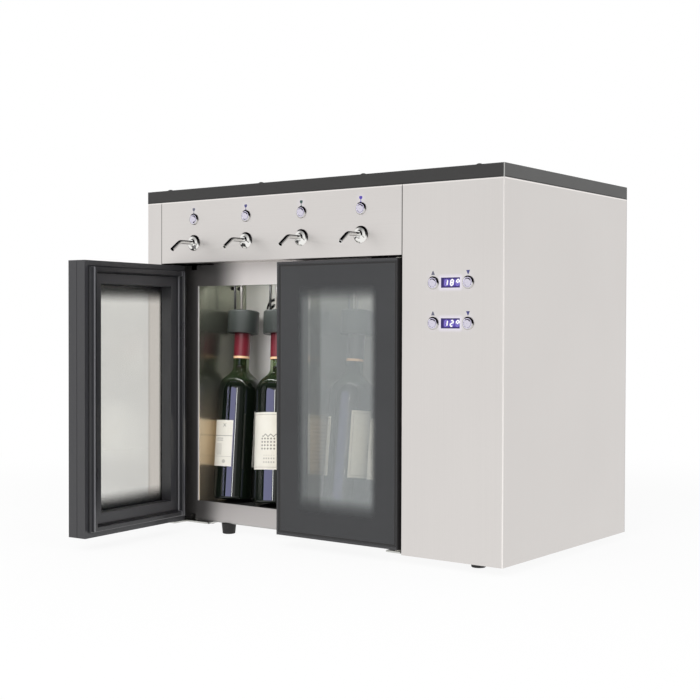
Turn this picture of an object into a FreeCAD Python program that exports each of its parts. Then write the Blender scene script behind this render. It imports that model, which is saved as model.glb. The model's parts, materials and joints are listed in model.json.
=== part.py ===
import FreeCAD, Part
import math
import os
import re
import Sketcher

# Wine preservation dispenser: a counter-top cabinet that keeps four bottles cool under gas.
#
# Casing frame, used by every length below: X from the left face, Y from the front face
# towards the back, Z from the lower edge of the casing sheets. Pieces are placed so that the
# part's own origin lies on the standing surface, under the middle of the casing.

SIZES = [
    # casing
    ("body_width", 706), ("body_depth", 403), ("body_height", 570), ("stand_height", 13.5),
    ("sheet_gauge", 1.2), ("cover_height", 20), ("cover_gauge", 2), ("left_flange", 32.8),
    ("tower_width", 172.8), ("recess_depth", 46), ("fascia_height", 104), ("rear_flange", 15),
    ("pan_lift", 4), ("pan_gauge", 1.5), ("seam", 0.3), ("bend_radius", 0.9),
    ("foot_radius", 12.5), ("foot_taper", 1.8), ("foot_x_left", 142), ("foot_x_right", 70),
    ("foot_inset", 52), ("cover_screw_pitch", 204.7), ("cover_screw_inset", 9),
    ("screw_radius", 2), ("screw_head", 5), ("screw_dome", 2.2), ("screw_shank", 4),
    ("screw_bevel", 0.8), ("screw_shoulder", 1.5), ("screw_hole", 2.1),
    ("back_screw_inset", 7), ("back_screw_end", 20), ("foot_round", 1.5),
    # cooled cavity
    ("jamb_width", 45.2), ("divider_width", 61.6), ("divider_shift", 3.8), ("cavity_back", 168),
    ("cavity_floor", 36), ("header_height", 38), ("header_lap", 4), ("sill_lip", 2),
    ("foam_rear", 40),
    # doors
    ("door_thick", 35), ("door_side_gap", 2), ("door_top_gap", 4), ("door_rise", 6.4),
    ("finger_gap", 16.8), ("door_lip", 4), ("hinge_lip", 7.4), ("chamfer_run", 6.6),
    ("chamfer_depth", 10), ("pane_gauge", 4), ("pane_inset", 0.6), ("pane_space", 6),
    ("glazing_edge", 16), ("glazing_fit", 0.2), ("stile_width", 36), ("spacer_width", 8),
    ("seal_inset", 8), ("seal_width", 12), ("seal_base", 3), ("seal_shoulder", 2),
    ("moving_gap", 0.3), ("pivot_inset", 9), ("pivot_depth", 10), ("door_open", 85.85),
    ("pin_radius", 2.5), ("pin_depth", 10), ("pin_end_gap", 2), ("bush_radius", 4),
    ("bush_flange", 2), ("running_fit", 0.05),
    ("plate_gauge", 2.5), ("plate_arm", 68), ("plate_tongue", 18), ("plate_margin", 8),
    ("plate_leg", 10), ("plate_rear", 14), ("plate_screw_near", 50), ("plate_screw_far", 60),
    ("plate_screw_back", 6), ("groove_width", 0.8), ("groove_depth", 0.5),
    # taps
    ("tap_pitch", 116), ("tap_rise", 33), ("tap_flange_radius", 13.2), ("tap_flange_thick", 5),
    ("spout_radius", 3.3), ("spout_bore", 2.3), ("spout_reach", 33), ("spout_run", 18),
    ("spout_drop", 13.5), ("spout_bend", 12), ("spout_shank", 8), ("spout_fit", 0.02),
    ("rim_thick", 1.2), ("rim_round", 0.9), ("dome_width", 2.4), ("dome_height", 3),
    ("dome_round", 2), ("neck_foot", 3), ("neck_sink", 0.8), ("neck_wall", 1.6),
    ("neck_rise", 1.4),
    # push buttons and displays
    ("button_rise", 72.5), ("bezel_lip", 1.5), ("bezel_thick", 2.2), ("barrel_radius", 8),
    ("barrel_depth", 12.6), ("barrel_wall", 0.6), ("barrel_floor", 1.4), ("ring_width", 1),
    ("bezel_bevel", 0.8), ("bezel_fall", 1), ("ring_sink", 0.2), ("cap_depth", 6),
    ("cap_rim", 0.3), ("cap_bevel", 1.2), ("cap_shoulder", 0.9), ("cap_crown", 1.1),
    ("set_centre", 84.5), ("set_spread", 29.8), ("set_row_high", 403.4),
    ("set_row_low", 344.6), ("display_width", 32), ("display_height", 14.6),
    ("lens_gauge", 2), ("lens_fit", 0.1), ("lens_sink", 0.2), ("board_gap", 14),
    ("board_gauge", 1.6), ("board_side", 16), ("board_end", 20), ("module_edge", 1),
    ("post_size", 2.5), ("post_side", 13), ("post_end", 17),
    # bottles and dispensing heads
    ("bottle_radius", 37), ("bottle_height", 305), ("shoulder_start", 202),
    ("shoulder_end", 222), ("shoulder_round", 30), ("neck_round", 15), ("neck_radius", 13.8),
    ("mouth_radius", 9.3), ("glass_wall", 3.2), ("heel_radius", 5), ("fill_height", 232),
    ("capsule_length", 53), ("capsule_drop", 44), ("capsule_gauge", 0.4), ("glue_gap", 0.05),
    ("bottle_lean", 6.4), ("bottle_y", 86), ("standing_gap", 0.1), ("dip_radius", 2),
    ("dip_bore", 1.2), ("dip_fit", 0.05), ("dip_lift", 5), ("head_radius", 27.3),
    ("head_height", 40), ("head_overlap", 17), ("head_gap", 1.7), ("head_round", 3),
    ("head_foot_round", 1.2), ("plug_length", 12), ("plug_lip", 4), ("plug_fit", 0.1),
    ("label_low", 56), ("label_short", 79), ("label_tall", 96), ("label_high", 108),
    ("label_gauge", 0.25), ("label_wrap", 140), ("back_label_wrap", 100), ("left_bottle_a", 45),
    ("left_bottle_b", 138), ("right_bottle_a", 45.4), ("right_bottle_b", 130.4),
    ("bottle_a_swing", 1.8), ("bottle_b_swing", 3.8), ("gas_port_x", -13),
    ("gas_port_y", -9), ("wine_port_x", 4), ("wine_port_y", -11), ("port_rise", 0.3),
    # tubes, valves and gas
    ("gas_tube_radius", 2.1), ("wine_tube_radius", 2.4), ("tube_bend", 8), ("valve_depth", 40),
    ("valve_width", 26), ("valve_height", 30), ("valve_run", 24), ("manifold_y", 152),
    ("manifold_size", 16), ("supply_bend", 20), ("tube_fit", 0.2), ("gas_inlet_bore", 3.05),
    ("gas_inlet_radius", 6.5), ("gas_inlet_length", 14), ("gas_inlet_offset", 66.8),
    ("gas_inlet_z", 140), ("gas_inlet_proud", 8), ("collar_width", 3), ("collar_thick", 3),
    # cooling
    ("guard_offset", 68), ("guard_drop", 44), ("guard_radius", 20.5), ("guard_slot", 5),
    ("guard_pitch", 9.6), ("guard_hole", 2.4), ("guard_bar", 2), ("fan_frame", 46),
    ("fan_depth", 12), ("fan_radius", 19.5), ("fan_gap", 2), ("fan_end_gap", 1.2),
    ("hub_radius", 8), ("post_radius", 2), ("blade_gauge", 1.4), ("blade_edge", 0.07),
    ("throat_gap", 1), ("spider_gauge", 1.5), ("spider_width", 3), ("cold_block", 60),
    ("cold_depth", 8), ("tile_size", 40), ("tile_gauge", 4), ("hot_block", 110),
    ("hot_depth", 42), ("hot_floor", 8), ("fin_pitch", 6), ("fin_gauge", 1.6),
    ("exhaust_x", 256), ("exhaust_z", 300), ("exhaust_frame", 120), ("exhaust_depth", 25),
    ("exhaust_radius", 55), ("exhaust_hub", 19), ("exhaust_gap", 2.5),
    ("supply_width", 70), ("supply_depth", 120), ("supply_height", 150),
    ("vent_width", 46), ("vent_height", 4), ("vent_pitch", 10), ("vent_gap", 8),
    ("exhaust_vent_pitch", 16), ("lower_vent_z", 90), ("tower_vent_z", 380),
    ("socket_offset", 114.5), ("socket_z", 60), ("socket_width", 28), ("socket_height", 20),
    ("socket_depth", 20), ("socket_wall", 2.3), ("socket_floor", 3), ("socket_lip", 4),
    ("socket_flange", 2.5), ("blade_half", 1), ("blade_rise", 2.5), ("blade_end", 6),
    ("blade_root", 2), ("regulator_size", 40), ("regulator_depth", 20),
    # how far the cutters run past the faces they cut
    ("cut_over", 1), ("cut_deep", 5),
]

# Lengths that follow from the sheet, as formulas in its words.
DERIVED = {
    "wall_height": "body_height - cover_height",
    "fascia_bottom": "wall_height - fascia_height",
    "recess_right": "body_width - tower_width",
    "recess_mid": "(left_flange + recess_right) / 2",
    "recess_width": "recess_right - left_flange",
    "zone_left": "left_flange + jamb_width",
    "zone_end": "recess_right - jamb_width",
    "divider_left": "recess_mid + divider_shift - divider_width / 2",
    "divider_right": "recess_mid + divider_shift + divider_width / 2",
    "header_bottom": "fascia_bottom - header_height",
    "cavity_top": "header_bottom + header_lap",
    "sill_top": "cavity_floor + sill_lip",
    "trim_back": "recess_depth + sheet_gauge",
    "liner_back": "cavity_back + sheet_gauge",
    "foam_back": "liner_back + foam_rear",
    "door_width": "(recess_width - 2 * door_side_gap - finger_gap) / 2",
    "door_height": "fascia_bottom - door_top_gap - door_rise",
    "pivot_left": "left_flange + door_side_gap + pivot_inset",
    "pivot_right": "recess_right - door_side_gap - pivot_inset",
    "shelf_depth": "pane_inset + pane_gauge",
    "inner_pane_front": "shelf_depth + pane_space",
    "glazing_back": "inner_pane_front + pane_gauge",
    "seal_tip": "recess_depth - moving_gap",
    "bush_depth": "pin_depth + pin_end_gap",
    "tap_z": "fascia_bottom + tap_rise",
    "tap_button_z": "fascia_bottom + button_rise",
    "set_x": "recess_right + set_centre",
    "ring_radius": "barrel_radius - barrel_wall",
    "cap_radius": "ring_radius - ring_width - moving_gap",
    "bezel_radius": "barrel_radius + bezel_lip",
    "gas_inlet_x": "recess_right + gas_inlet_offset",
    "socket_x": "recess_right + socket_offset",
    "pan_top": "pan_lift + pan_gauge",
    "head_bottom": "bottle_height - head_overlap",
    "head_top": "head_bottom + head_height",
    "plug_top": "bottle_height + plug_lip",
    "guard_height": "cavity_top - guard_drop",
    "guard_left": "zone_left + guard_offset",
    "guard_right": "divider_right + guard_offset",
    "fan_back": "liner_back + fan_depth",
    "tile_front": "foam_back - tile_gauge",
    "gas_line_z": "fascia_bottom + manifold_size / 2",
}

WORD = re.compile(r"[a-z_][a-z_0-9]*")
ALIASES = {name for name, _ in SIZES}

doc = FreeCAD.newDocument("wine_dispenser")
sheet = doc.addObject("Spreadsheet::Sheet", "Sizes")
for row, (alias, size) in enumerate(SIZES, start=1):
    sheet.set(f"A{row}", alias.replace("_", " "))
    sheet.set(f"B{row}", str(size))
    sheet.setAlias(f"B{row}", alias)
doc.recompute()

nodes = []


# ---------------------------------------------------------------- formulas and placing

def formula(text):
    """The formula with its derived words written out and its sizes named in the sheet."""
    def swap(match):
        word = match.group()
        if word in DERIVED:
            return f"({formula(DERIVED[word])})"
        return f"Sizes.{word}" if word in ALIASES else word
    return WORD.sub(swap, str(text))


def number(text):
    """The formula's present value."""
    result = sheet.evalExpression(formula(text))
    return float(getattr(result, "Value", result))


def bind(thing, name, text):
    thing.setExpression(name, formula(text))


def place(thing, x, y, z, casing=True):
    """Bind the thing's place, given in the casing frame or, if not casing, in its own."""
    bind(thing, "Placement.Base.x", f"({x}) - body_width / 2" if casing else x)
    bind(thing, "Placement.Base.y", f"({y}) - body_depth / 2" if casing else y)
    bind(thing, "Placement.Base.z", f"({z}) + stand_height" if casing else z)


def origin_shift():
    return FreeCAD.Vector(-number("body_width / 2"), -number("body_depth / 2"),
                          number("stand_height"))


def point(x, y, z):
    """A point of the casing frame in the part's frame."""
    return FreeCAD.Vector(number(x), number(y), number(z)) + origin_shift()


ALONG_Y = FreeCAD.Rotation(FreeCAD.Vector(1, 0, 0), -90)
OUT_OF_FRONT = FreeCAD.Rotation(FreeCAD.Vector(1, 0, 0), 90)
ALONG_X = FreeCAD.Rotation(FreeCAD.Vector(0, 1, 0), 90)
UPRIGHT = FreeCAD.Rotation()
TURNS = {"x": ALONG_X, "y": ALONG_Y, "z": UPRIGHT}


def box(label, x, y, z, dx, dy, dz, casing=True):
    made = doc.addObject("Part::Box", label)
    place(made, x, y, z, casing)
    for name, text in (("Length", dx), ("Width", dy), ("Height", dz)):
        bind(made, name, text)
    return made


def between(label, x0, x1, y0, y1, z0, z1, casing=True):
    """A box given by its two limits on each axis."""
    return box(label, x0, y0, z0, f"({x1}) - ({x0})", f"({y1}) - ({y0})", f"({z1}) - ({z0})",
               casing)


def rod(label, axis, x, y, z, radius, length, casing=True):
    made = doc.addObject("Part::Cylinder", label)
    made.Placement.Rotation = TURNS[axis]
    place(made, x, y, z, casing)
    bind(made, "Radius", radius)
    bind(made, "Height", length)
    return made


def fuse(label, *parts):
    made = doc.addObject("Part::MultiFuse", label)
    made.Shapes = list(parts)
    made.Refine = True
    return made


def group(label, *parts):
    """Several separate solids as one sub-part."""
    made = doc.addObject("Part::Compound", label)
    made.Links = list(parts)
    return made


def cut(label, base, *tools):
    made = doc.addObject("Part::Cut", label)
    made.Base = base
    made.Tool = tools[0] if len(tools) == 1 else group(label + "_tools", *tools)
    made.Refine = True
    return made


def feature(label, shape, placement=None):
    made = doc.addObject("Part::Feature", label)
    made.Shape = shape
    if placement is not None:
        made.Placement = placement
    return made


def copies(label, master, places):
    """The master's solid once at each placement, as one sub-part."""
    doc.recompute()
    shapes = [master.Shape.transformed(place_.toMatrix(), True) for place_ in places]
    return feature(label, shapes[0] if len(shapes) == 1 else Part.makeCompound(shapes))


def spot(x, y, z, turn=UPRIGHT):
    return FreeCAD.Placement(point(x, y, z), turn)


def screw_holes(name, axis, places, length):
    """Clearance holes for screws: each place is where the drill starts."""
    return [rod(f"{name}_{i}", axis, x, y, z, "screw_hole", length)
            for i, (x, y, z) in enumerate(places)]


def keep(made, label=None):
    """List a finished sub-part, which is written to a file of its own."""
    made.Label = label or made.Name
    nodes.append(made)
    return made


# ---------------------------------------------------------------- sketched bodies

def sketch(body, name, role, corners):
    """A closed outline whose corners are bound to formulas, on one of the body's planes."""
    drawn = body.newObject("Sketcher::SketchObject", name)
    plane = next(f for f in body.Origin.OriginFeatures if f.Role == role)
    drawn.AttachmentSupport = [(plane, "")]
    drawn.MapMode = "FlatFace"
    ends = [FreeCAD.Vector(number(a), number(b), 0) for a, b in corners]
    count = len(ends)
    for i in range(count):
        drawn.addGeometry(Part.LineSegment(ends[i], ends[(i + 1) % count]))
    for i in range(count):
        drawn.addConstraint(Sketcher.Constraint("Coincident", i, 2, (i + 1) % count, 1))
    for i, (a, b) in enumerate(corners):
        for kind, text, value in (("DistanceX", a, ends[i].x), ("DistanceY", b, ends[i].y)):
            index = drawn.addConstraint(Sketcher.Constraint(kind, -1, 1, i, 1, value))
            drawn.setExpression(f"Constraints[{index}]", formula(text))
    return drawn


def padded(label, corners, height):
    """An outline in the XY plane, raised by a height."""
    body = doc.addObject("PartDesign::Body", label)
    pad = body.newObject("PartDesign::Pad", label + "_pad")
    pad.Profile = sketch(body, label + "_outline", "XY_Plane", corners)
    bind(pad, "Length", height)
    return body


def turned(label, corners, angle=None, rounds=()):
    """An outline of (radius, height) corners turned about Z, with edges rounded in turn."""
    body = doc.addObject("PartDesign::Body", label)
    outline = sketch(body, label + "_outline", "XZ_Plane", corners)
    turn = body.newObject("PartDesign::Revolution", label + "_turn")
    turn.Profile = outline
    turn.ReferenceAxis = (outline, ["V_Axis"])
    if angle is not None:
        bind(turn, "Angle", angle)
    for index, (radius, height, size) in enumerate(rounds):
        doc.recompute()
        base = body.Tip
        r, z = number(radius), number(height)
        names = [f"Edge{i}" for i, edge in enumerate(base.Shape.Edges, start=1)
                 if isinstance(edge.Curve, Part.Circle) and abs(edge.Curve.Radius - r) < 1e-4
                 and abs(edge.Curve.Center.z - z) < 1e-4]
        rounding = body.newObject("PartDesign::Fillet", f"{label}_round_{index}")
        rounding.Base = (base, names)
        bind(rounding, "Radius", size)
    return body


def rounded_uprights(label, base, spots, radius):
    """Round the base's upright edges that stand at the given places of the part's frame."""
    doc.recompute()
    chosen = []
    for index, edge in enumerate(base.Shape.Edges, start=1):
        ends = [v.Point for v in edge.Vertexes]
        upright = len(ends) == 2 and (ends[0] - ends[1]).cross(FreeCAD.Vector(0, 0, 1)).Length < 1e-6
        if upright and any(math.hypot(ends[0].x - p.x, ends[0].y - p.y) < 1e-3 for p in spots):
            chosen.append((index, number(radius), number(radius)))
    made = doc.addObject("Part::Fillet", label)
    made.Base = base
    made.Edges = chosen
    return made


def tube(path_points, radius, bend):
    """A round tube along straight runs joined by tangent arcs."""
    edges, start = [], path_points[0]
    for before, corner, after in zip(path_points, path_points[1:], path_points[2:]):
        come, go = (corner - before).normalize(), (after - corner).normalize()
        turn = come.getAngle(go)
        run = min((corner - before).Length, (after - corner).Length)
        reach = min(bend * math.tan(turn / 2), 0.45 * run)
        first, last = corner - come * reach, corner + go * reach
        middle = corner + (go - come).normalize() * (reach / math.cos((math.pi - turn) / 2)
                                                     * (1 - math.sin((math.pi - turn) / 2)))
        edges.append(Part.LineSegment(start, first).toShape())
        edges.append(Part.Arc(first, middle, last).toShape())
        start = last
    edges.append(Part.LineSegment(start, path_points[-1]).toShape())
    spine = Part.Wire(edges)
    direction = edges[0].tangentAt(edges[0].FirstParameter)
    ring = Part.Wire(Part.makeCircle(radius, path_points[0], direction))
    return spine.makePipeShell([ring], True, True)


# ---------------------------------------------------------------- casing

def side_panel_left():
    corners = [("0", "0"), ("left_flange", "0"), ("left_flange", "recess_depth"),
               ("left_flange - sheet_gauge", "recess_depth"),
               ("left_flange - sheet_gauge", "sheet_gauge"), ("sheet_gauge", "sheet_gauge"),
               ("sheet_gauge", "body_depth - 2 * sheet_gauge"),
               ("rear_flange", "body_depth - 2 * sheet_gauge"),
               ("rear_flange", "body_depth - sheet_gauge"), ("0", "body_depth - sheet_gauge")]
    sheet_metal = padded("left_side_sheet", corners, "wall_height")
    place(sheet_metal, "0", "0", "0")
    bends = [point("0", "0", "0"), point("left_flange", "0", "0")]
    bent = rounded_uprights("left_side_bent", sheet_metal, bends, "bend_radius")
    keep(cut("side_panel_left", bent, *rear_holes("left_side_hole", "back_screw_inset")))


def rear_holes(name, x):
    """Screw holes through a side's rear flange and the back panel."""
    starts = [(x, "body_depth - 3 * sheet_gauge", z) for z in rear_screw_heights()]
    return screw_holes(name, "y", starts, "4 * sheet_gauge")


def rear_screw_heights():
    return ["back_screw_end", "wall_height / 2", "wall_height - back_screw_end"]


def side_panel_right():
    corners = [("recess_right", "0"), ("body_width", "0"),
               ("body_width", "body_depth - sheet_gauge"),
               ("body_width - rear_flange", "body_depth - sheet_gauge"),
               ("body_width - rear_flange", "body_depth - 2 * sheet_gauge"),
               ("body_width - sheet_gauge", "body_depth - 2 * sheet_gauge"),
               ("body_width - sheet_gauge", "sheet_gauge"),
               ("recess_right + sheet_gauge", "sheet_gauge"),
               ("recess_right + sheet_gauge", "recess_depth"), ("recess_right", "recess_depth")]
    sheet_metal = padded("right_side_sheet", corners, "wall_height")
    place(sheet_metal, "0", "0", "0")
    bends = [point("recess_right", "0", "0"), point("body_width", "0", "0")]
    bent = rounded_uprights("right_side_bent", sheet_metal, bends, "bend_radius")
    holes = [rod(f"set_hole_{i}", "y", x, "-cut_over", z, "barrel_radius + seam",
                 "sheet_gauge + 2 * cut_over")
             for i, (x, z) in enumerate(set_button_places())]
    windows = [between(f"display_hole_{i}", "set_x - display_width / 2",
                       "set_x + display_width / 2", "-cut_over", "sheet_gauge + cut_over",
                       f"{z} - display_height / 2", f"{z} + display_height / 2")
               for i, z in enumerate(("set_row_high", "set_row_low"))]
    rear = rear_holes("right_side_hole", "body_width - back_screw_inset")
    keep(cut("side_panel_right", bent, *holes, *windows, *rear))


def fascia_panel():
    left, right = "left_flange + seam", "recess_right - seam"
    face = between("fascia_face", left, right, "0", "sheet_gauge", "fascia_bottom", "wall_height")
    lower = between("fascia_lower", left, right, "0", "recess_depth", "fascia_bottom",
                    "fascia_bottom + sheet_gauge")
    upper = between("fascia_upper", left, right, "0", "rear_flange",
                    "wall_height - sheet_gauge", "wall_height")
    holes = []
    for i, x in enumerate(tap_places()):
        holes.append(rod(f"tap_hole_{i}", "y", x, "-cut_over", "tap_z", "spout_radius + seam",
                         "sheet_gauge + 2 * cut_over"))
        holes.append(rod(f"tap_button_hole_{i}", "y", x, "-cut_over", "tap_button_z",
                         "barrel_radius + seam", "sheet_gauge + 2 * cut_over"))
    keep(cut("fascia_panel", fuse("fascia_bent", face, lower, upper), *holes))


def top_cover():
    outer = between("cover_block", "0", "body_width", "0", "body_depth", "wall_height",
                    "body_height")
    inner = between("cover_hollow", "cover_gauge", "body_width - cover_gauge", "cover_gauge",
                    "body_depth - cover_gauge", "wall_height - cut_over",
                    "body_height - cover_gauge")
    starts = [(x, "cover_screw_inset", "wall_height") for x in cover_screw_places()]
    holes = screw_holes("cover_hole", "z", starts, "cover_height + cut_over")
    keep(cut("top_cover", outer, inner, *holes))


def cover_screw_places():
    return [f"body_width / 2 + {step} * cover_screw_pitch" for step in (-1.5, -0.5, 0.5, 1.5)]


def back_panel():
    sheet_metal = between("back_sheet", "0", "body_width", "body_depth - sheet_gauge",
                          "body_depth", "0", "wall_height")
    slot = between("vent_slot", "0", "vent_width", "-sheet_gauge - cut_over", "cut_over", "0",
                   "vent_height", casing=False)
    steps = range(-3, 4)
    places = [spot(f"exhaust_x + {column} * (vent_width + vent_gap) - vent_width / 2",
                   "body_depth", f"exhaust_z + {step} * exhaust_vent_pitch")
              for column in (-0.5, 0.5) for step in steps]
    places += [spot(f"{x} - vent_width / 2", "body_depth", f"lower_vent_z + {step} * vent_pitch")
               for x in ("guard_left", "exhaust_x", "guard_right") for step in range(5)]
    places += [spot("set_x - vent_width / 2", "body_depth",
                    f"tower_vent_z + {step} * vent_pitch") for step in range(8)]
    vents = copies("back_vents", slot, places)
    inlet = rod("gas_inlet_hole", "y", "gas_inlet_x", "body_depth - cut_deep", "gas_inlet_z",
                "gas_inlet_radius", "2 * cut_deep")
    socket = socket_block("socket_hole", "0", "-cut_deep", "cut_deep")
    rear = rear_holes("back_hole_left", "back_screw_inset")
    rear += rear_holes("back_hole_right", "body_width - back_screw_inset")
    keep(cut("back_panel", sheet_metal, vents, inlet, socket, *rear))


def base_pan():
    edge, back = "sheet_gauge", "body_depth - 2 * sheet_gauge"
    corners = [(edge, edge), ("left_flange - sheet_gauge", edge),
               ("left_flange - sheet_gauge", "recess_depth"),
               ("recess_right + sheet_gauge", "recess_depth"),
               ("recess_right + sheet_gauge", edge), ("body_width - sheet_gauge", edge),
               ("body_width - sheet_gauge", back), (edge, back)]
    pan = padded("base_pan_sheet", corners, "pan_gauge")
    place(pan, "0", "0", "pan_lift")
    starts = [(x, y, "pan_lift - pan_gauge") for x, y in plate_screw_places()]
    keep(cut("base_pan", pan, *screw_holes("pan_hole", "z", starts, "3 * pan_gauge")))


def cavity_trims():
    front, back = "recess_depth", "trim_back"
    strips = [
        between("header_trim", "left_flange", "recess_right", front, back, "header_bottom",
                "fascia_bottom"),
        between("sill_trim", "left_flange", "recess_right", front, back, "pan_top", "sill_top"),
        between("left_jamb", "left_flange", "zone_left - sheet_gauge", front, back, "sill_top",
                "header_bottom"),
        between("mullion", "divider_left", "divider_right", front, back, "sill_top",
                "header_bottom"),
        between("right_jamb", "zone_end + sheet_gauge", "recess_right", front, back, "sill_top",
                "header_bottom"),
    ]
    keep(group("cavity_trims", *strips))


def liner():
    left_skin, right_skin = "zone_left - sheet_gauge", "zone_end + sheet_gauge"
    walls = [between("left_wall", left_skin, "zone_left", "trim_back", "cavity_back",
                     "cavity_floor", "cavity_top"),
             between("right_wall", "zone_end", right_skin, "trim_back", "cavity_back",
                     "cavity_floor", "cavity_top")]
    keep(group("liner_side_walls", *walls))
    back = between("back_skin", left_skin, right_skin, "cavity_back", "liner_back",
                   "cavity_floor", "cavity_top")
    keep(cut("liner_back_wall", back, guard_slots()))
    keep(between("liner_floor", left_skin, right_skin, "trim_back", "liner_back",
                 "cavity_floor - sheet_gauge", "cavity_floor"))
    ceiling = between("ceiling_skin", left_skin, right_skin, "trim_back", "liner_back",
                      "cavity_top", "cavity_top + sheet_gauge")
    keep(cut("liner_ceiling", ceiling, *tube_holes("ceiling", "cavity_top - cut_over",
                                                  "sheet_gauge + 2 * cut_over")))
    core = between("divider_block", "divider_left", "divider_right", "trim_back", "cavity_back",
                   "cavity_floor", "cavity_top")
    hollow = between("divider_hollow", "divider_left + sheet_gauge",
                     "divider_right - sheet_gauge", "trim_back + sheet_gauge",
                     "cavity_back - sheet_gauge", "cavity_floor - cut_over",
                     "cavity_top + cut_over")
    keep(cut("divider", core, hollow))


def guard_slots():
    """Two rings of slots round a hole in front of each fan, bridged by four bars."""
    low, thick = "-cut_over", "sheet_gauge + 2 * cut_over"
    rings = []
    for i in range(2):
        edge = f"guard_radius - {i} * guard_pitch"
        outer = rod(f"slot_outer_{i}", "y", "0", low, "0", edge, thick, casing=False)
        inner = rod(f"slot_inner_{i}", "y", "0", low, "0", f"{edge} - guard_slot", thick,
                    casing=False)
        rings.append(cut(f"slot_ring_{i}", outer, inner))
    bars = fuse("guard_bars",
                between("guard_bar_level", "-guard_radius", "guard_radius", low, thick,
                        "-guard_bar / 2", "guard_bar / 2", casing=False),
                between("guard_bar_upright", "-guard_bar / 2", "guard_bar / 2", low, thick,
                        "-guard_radius", "guard_radius", casing=False))
    slots = cut("guard_ring_slots", group("slot_rings", *rings), bars)
    hole = rod("guard_centre", "y", "0", low, "0", "guard_hole", thick, casing=False)
    return copies("guard_slots", group("guard_pattern", slots, hole),
                  [spot(x, "cavity_back", "guard_height") for x in ("guard_left", "guard_right")])


def insulation():
    block = between("foam_block", "left_flange + seam", "recess_right - seam",
                    "trim_back", "foam_back", "pan_top", "fascia_bottom")
    hollow = between("foam_hollow", "zone_left - sheet_gauge", "zone_end + sheet_gauge",
                     "trim_back - cut_over", "liner_back", "cavity_floor - sheet_gauge",
                     "cavity_top + sheet_gauge")
    ducts = []
    for i, x in enumerate(("guard_left", "guard_right")):
        half = "(cold_block / 2 + seam)"
        ducts.append(between(f"cold_pocket_{i}", f"{x} - {half}", f"{x} + {half}",
                             "liner_back - cut_over", "tile_front", f"guard_height - {half}",
                             f"guard_height + {half}"))
        half = "(tile_size / 2 + seam)"
        ducts.append(between(f"tile_pocket_{i}", f"{x} - {half}", f"{x} + {half}",
                             "tile_front - cut_over", "foam_back + cut_over", f"guard_height - {half}",
                             f"guard_height + {half}"))
    tubes = tube_holes("foam", "cavity_top", "fascia_bottom - cavity_top + cut_over")
    keep(cut("insulation", block, hollow, *ducts, *tubes))


def feet():
    depth = "stand_height + pan_lift"
    foot = turned("foot", [("0", "0"), ("foot_radius - foot_taper", "0"), ("foot_radius", depth),
                           ("0", depth)], rounds=[("foot_radius - foot_taper", "0", "foot_round")])
    spots = [spot(x, y, "-stand_height") for x in ("foot_x_left", "body_width - foot_x_right")
             for y in ("foot_inset", "body_depth - foot_inset")]
    keep(copies("feet", foot, spots))


# ---------------------------------------------------------------- screws

def screws():
    """Domed screws: along the top cover, round the back panel and under the hinge plates."""
    screw = turned("screw", [("0", "-screw_shank"), ("screw_radius", "-screw_shank"),
                             ("screw_radius", "0"), ("screw_head", "0"),
                             ("screw_head - screw_bevel", "screw_shoulder"),
                             ("screw_head / 2", "screw_dome"), ("0", "screw_dome")])
    spots = [spot(x, "cover_screw_inset", "body_height") for x in cover_screw_places()]
    spots += [spot(x, "body_depth", z, ALONG_Y) for z in rear_screw_heights()
              for x in ("back_screw_inset", "body_width - back_screw_inset")]
    downwards = FreeCAD.Rotation(FreeCAD.Vector(1, 0, 0), 180)
    spots += [spot(x, y, "pan_lift - plate_gauge", downwards) for x, y in plate_screw_places()]
    keep(copies("screws", screw, spots))


def plate_screw_places():
    """Where the lower hinge plates are screwed up into the base pan."""
    return [(f"{hand.pivot} + {hand.sign} * {reach}", "recess_depth + plate_screw_back")
            for hand in HANDS for reach in ("plate_screw_near", "plate_screw_far")]


# ---------------------------------------------------------------- doors

class Hand:
    """One door's side: how far across it a place lies, and where the door hangs."""

    def __init__(self, name, sign, pivot, angle):
        self.name, self.sign, self.pivot, self.angle = name, sign, pivot, angle

    def limits(self, near, far):
        """X limits of what lies between two distances from the hinge edge."""
        if self.sign > 0:
            return f"({near}) - pivot_inset", f"({far}) - pivot_inset"
        return f"pivot_inset - ({far})", f"pivot_inset - ({near})"

    def slab(self, label, near, far, y0, y1, z0, z1):
        x0, x1 = self.limits(near, far)
        return between(f"{label}_{self.name}", x0, x1, f"{y0} - pivot_depth",
                       f"{y1} - pivot_depth", z0, z1, casing=False)

    def inset_slab(self, label, edge, y0, y1):
        """A slab that stays the same distance inside all four edges of the door."""
        return self.slab(label, edge, f"door_width - ({edge})", y0, y1, edge,
                         f"door_height - ({edge})")

    def ring(self, label, edge, width, y0, y1):
        outer = self.inset_slab(label + "_outer", edge, y0, y1)
        inner = self.inset_slab(label + "_inner", f"{edge} + {width}", f"{y0} - cut_over",
                                f"{y1} + cut_over")
        return cut(f"{label}_{self.name}", outer, inner)

    def hang(self, made):
        """Set the piece, made about the pivot, at the pivot and turn it to where it rests."""
        bind(made, "Placement.Rotation.Angle", self.angle)
        place(made, self.pivot, "pivot_depth", "door_rise")
        return keep(made)


HANDS = [Hand("left", 1, "pivot_left", "-door_open"), Hand("right", -1, "pivot_right", "0")]


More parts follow.
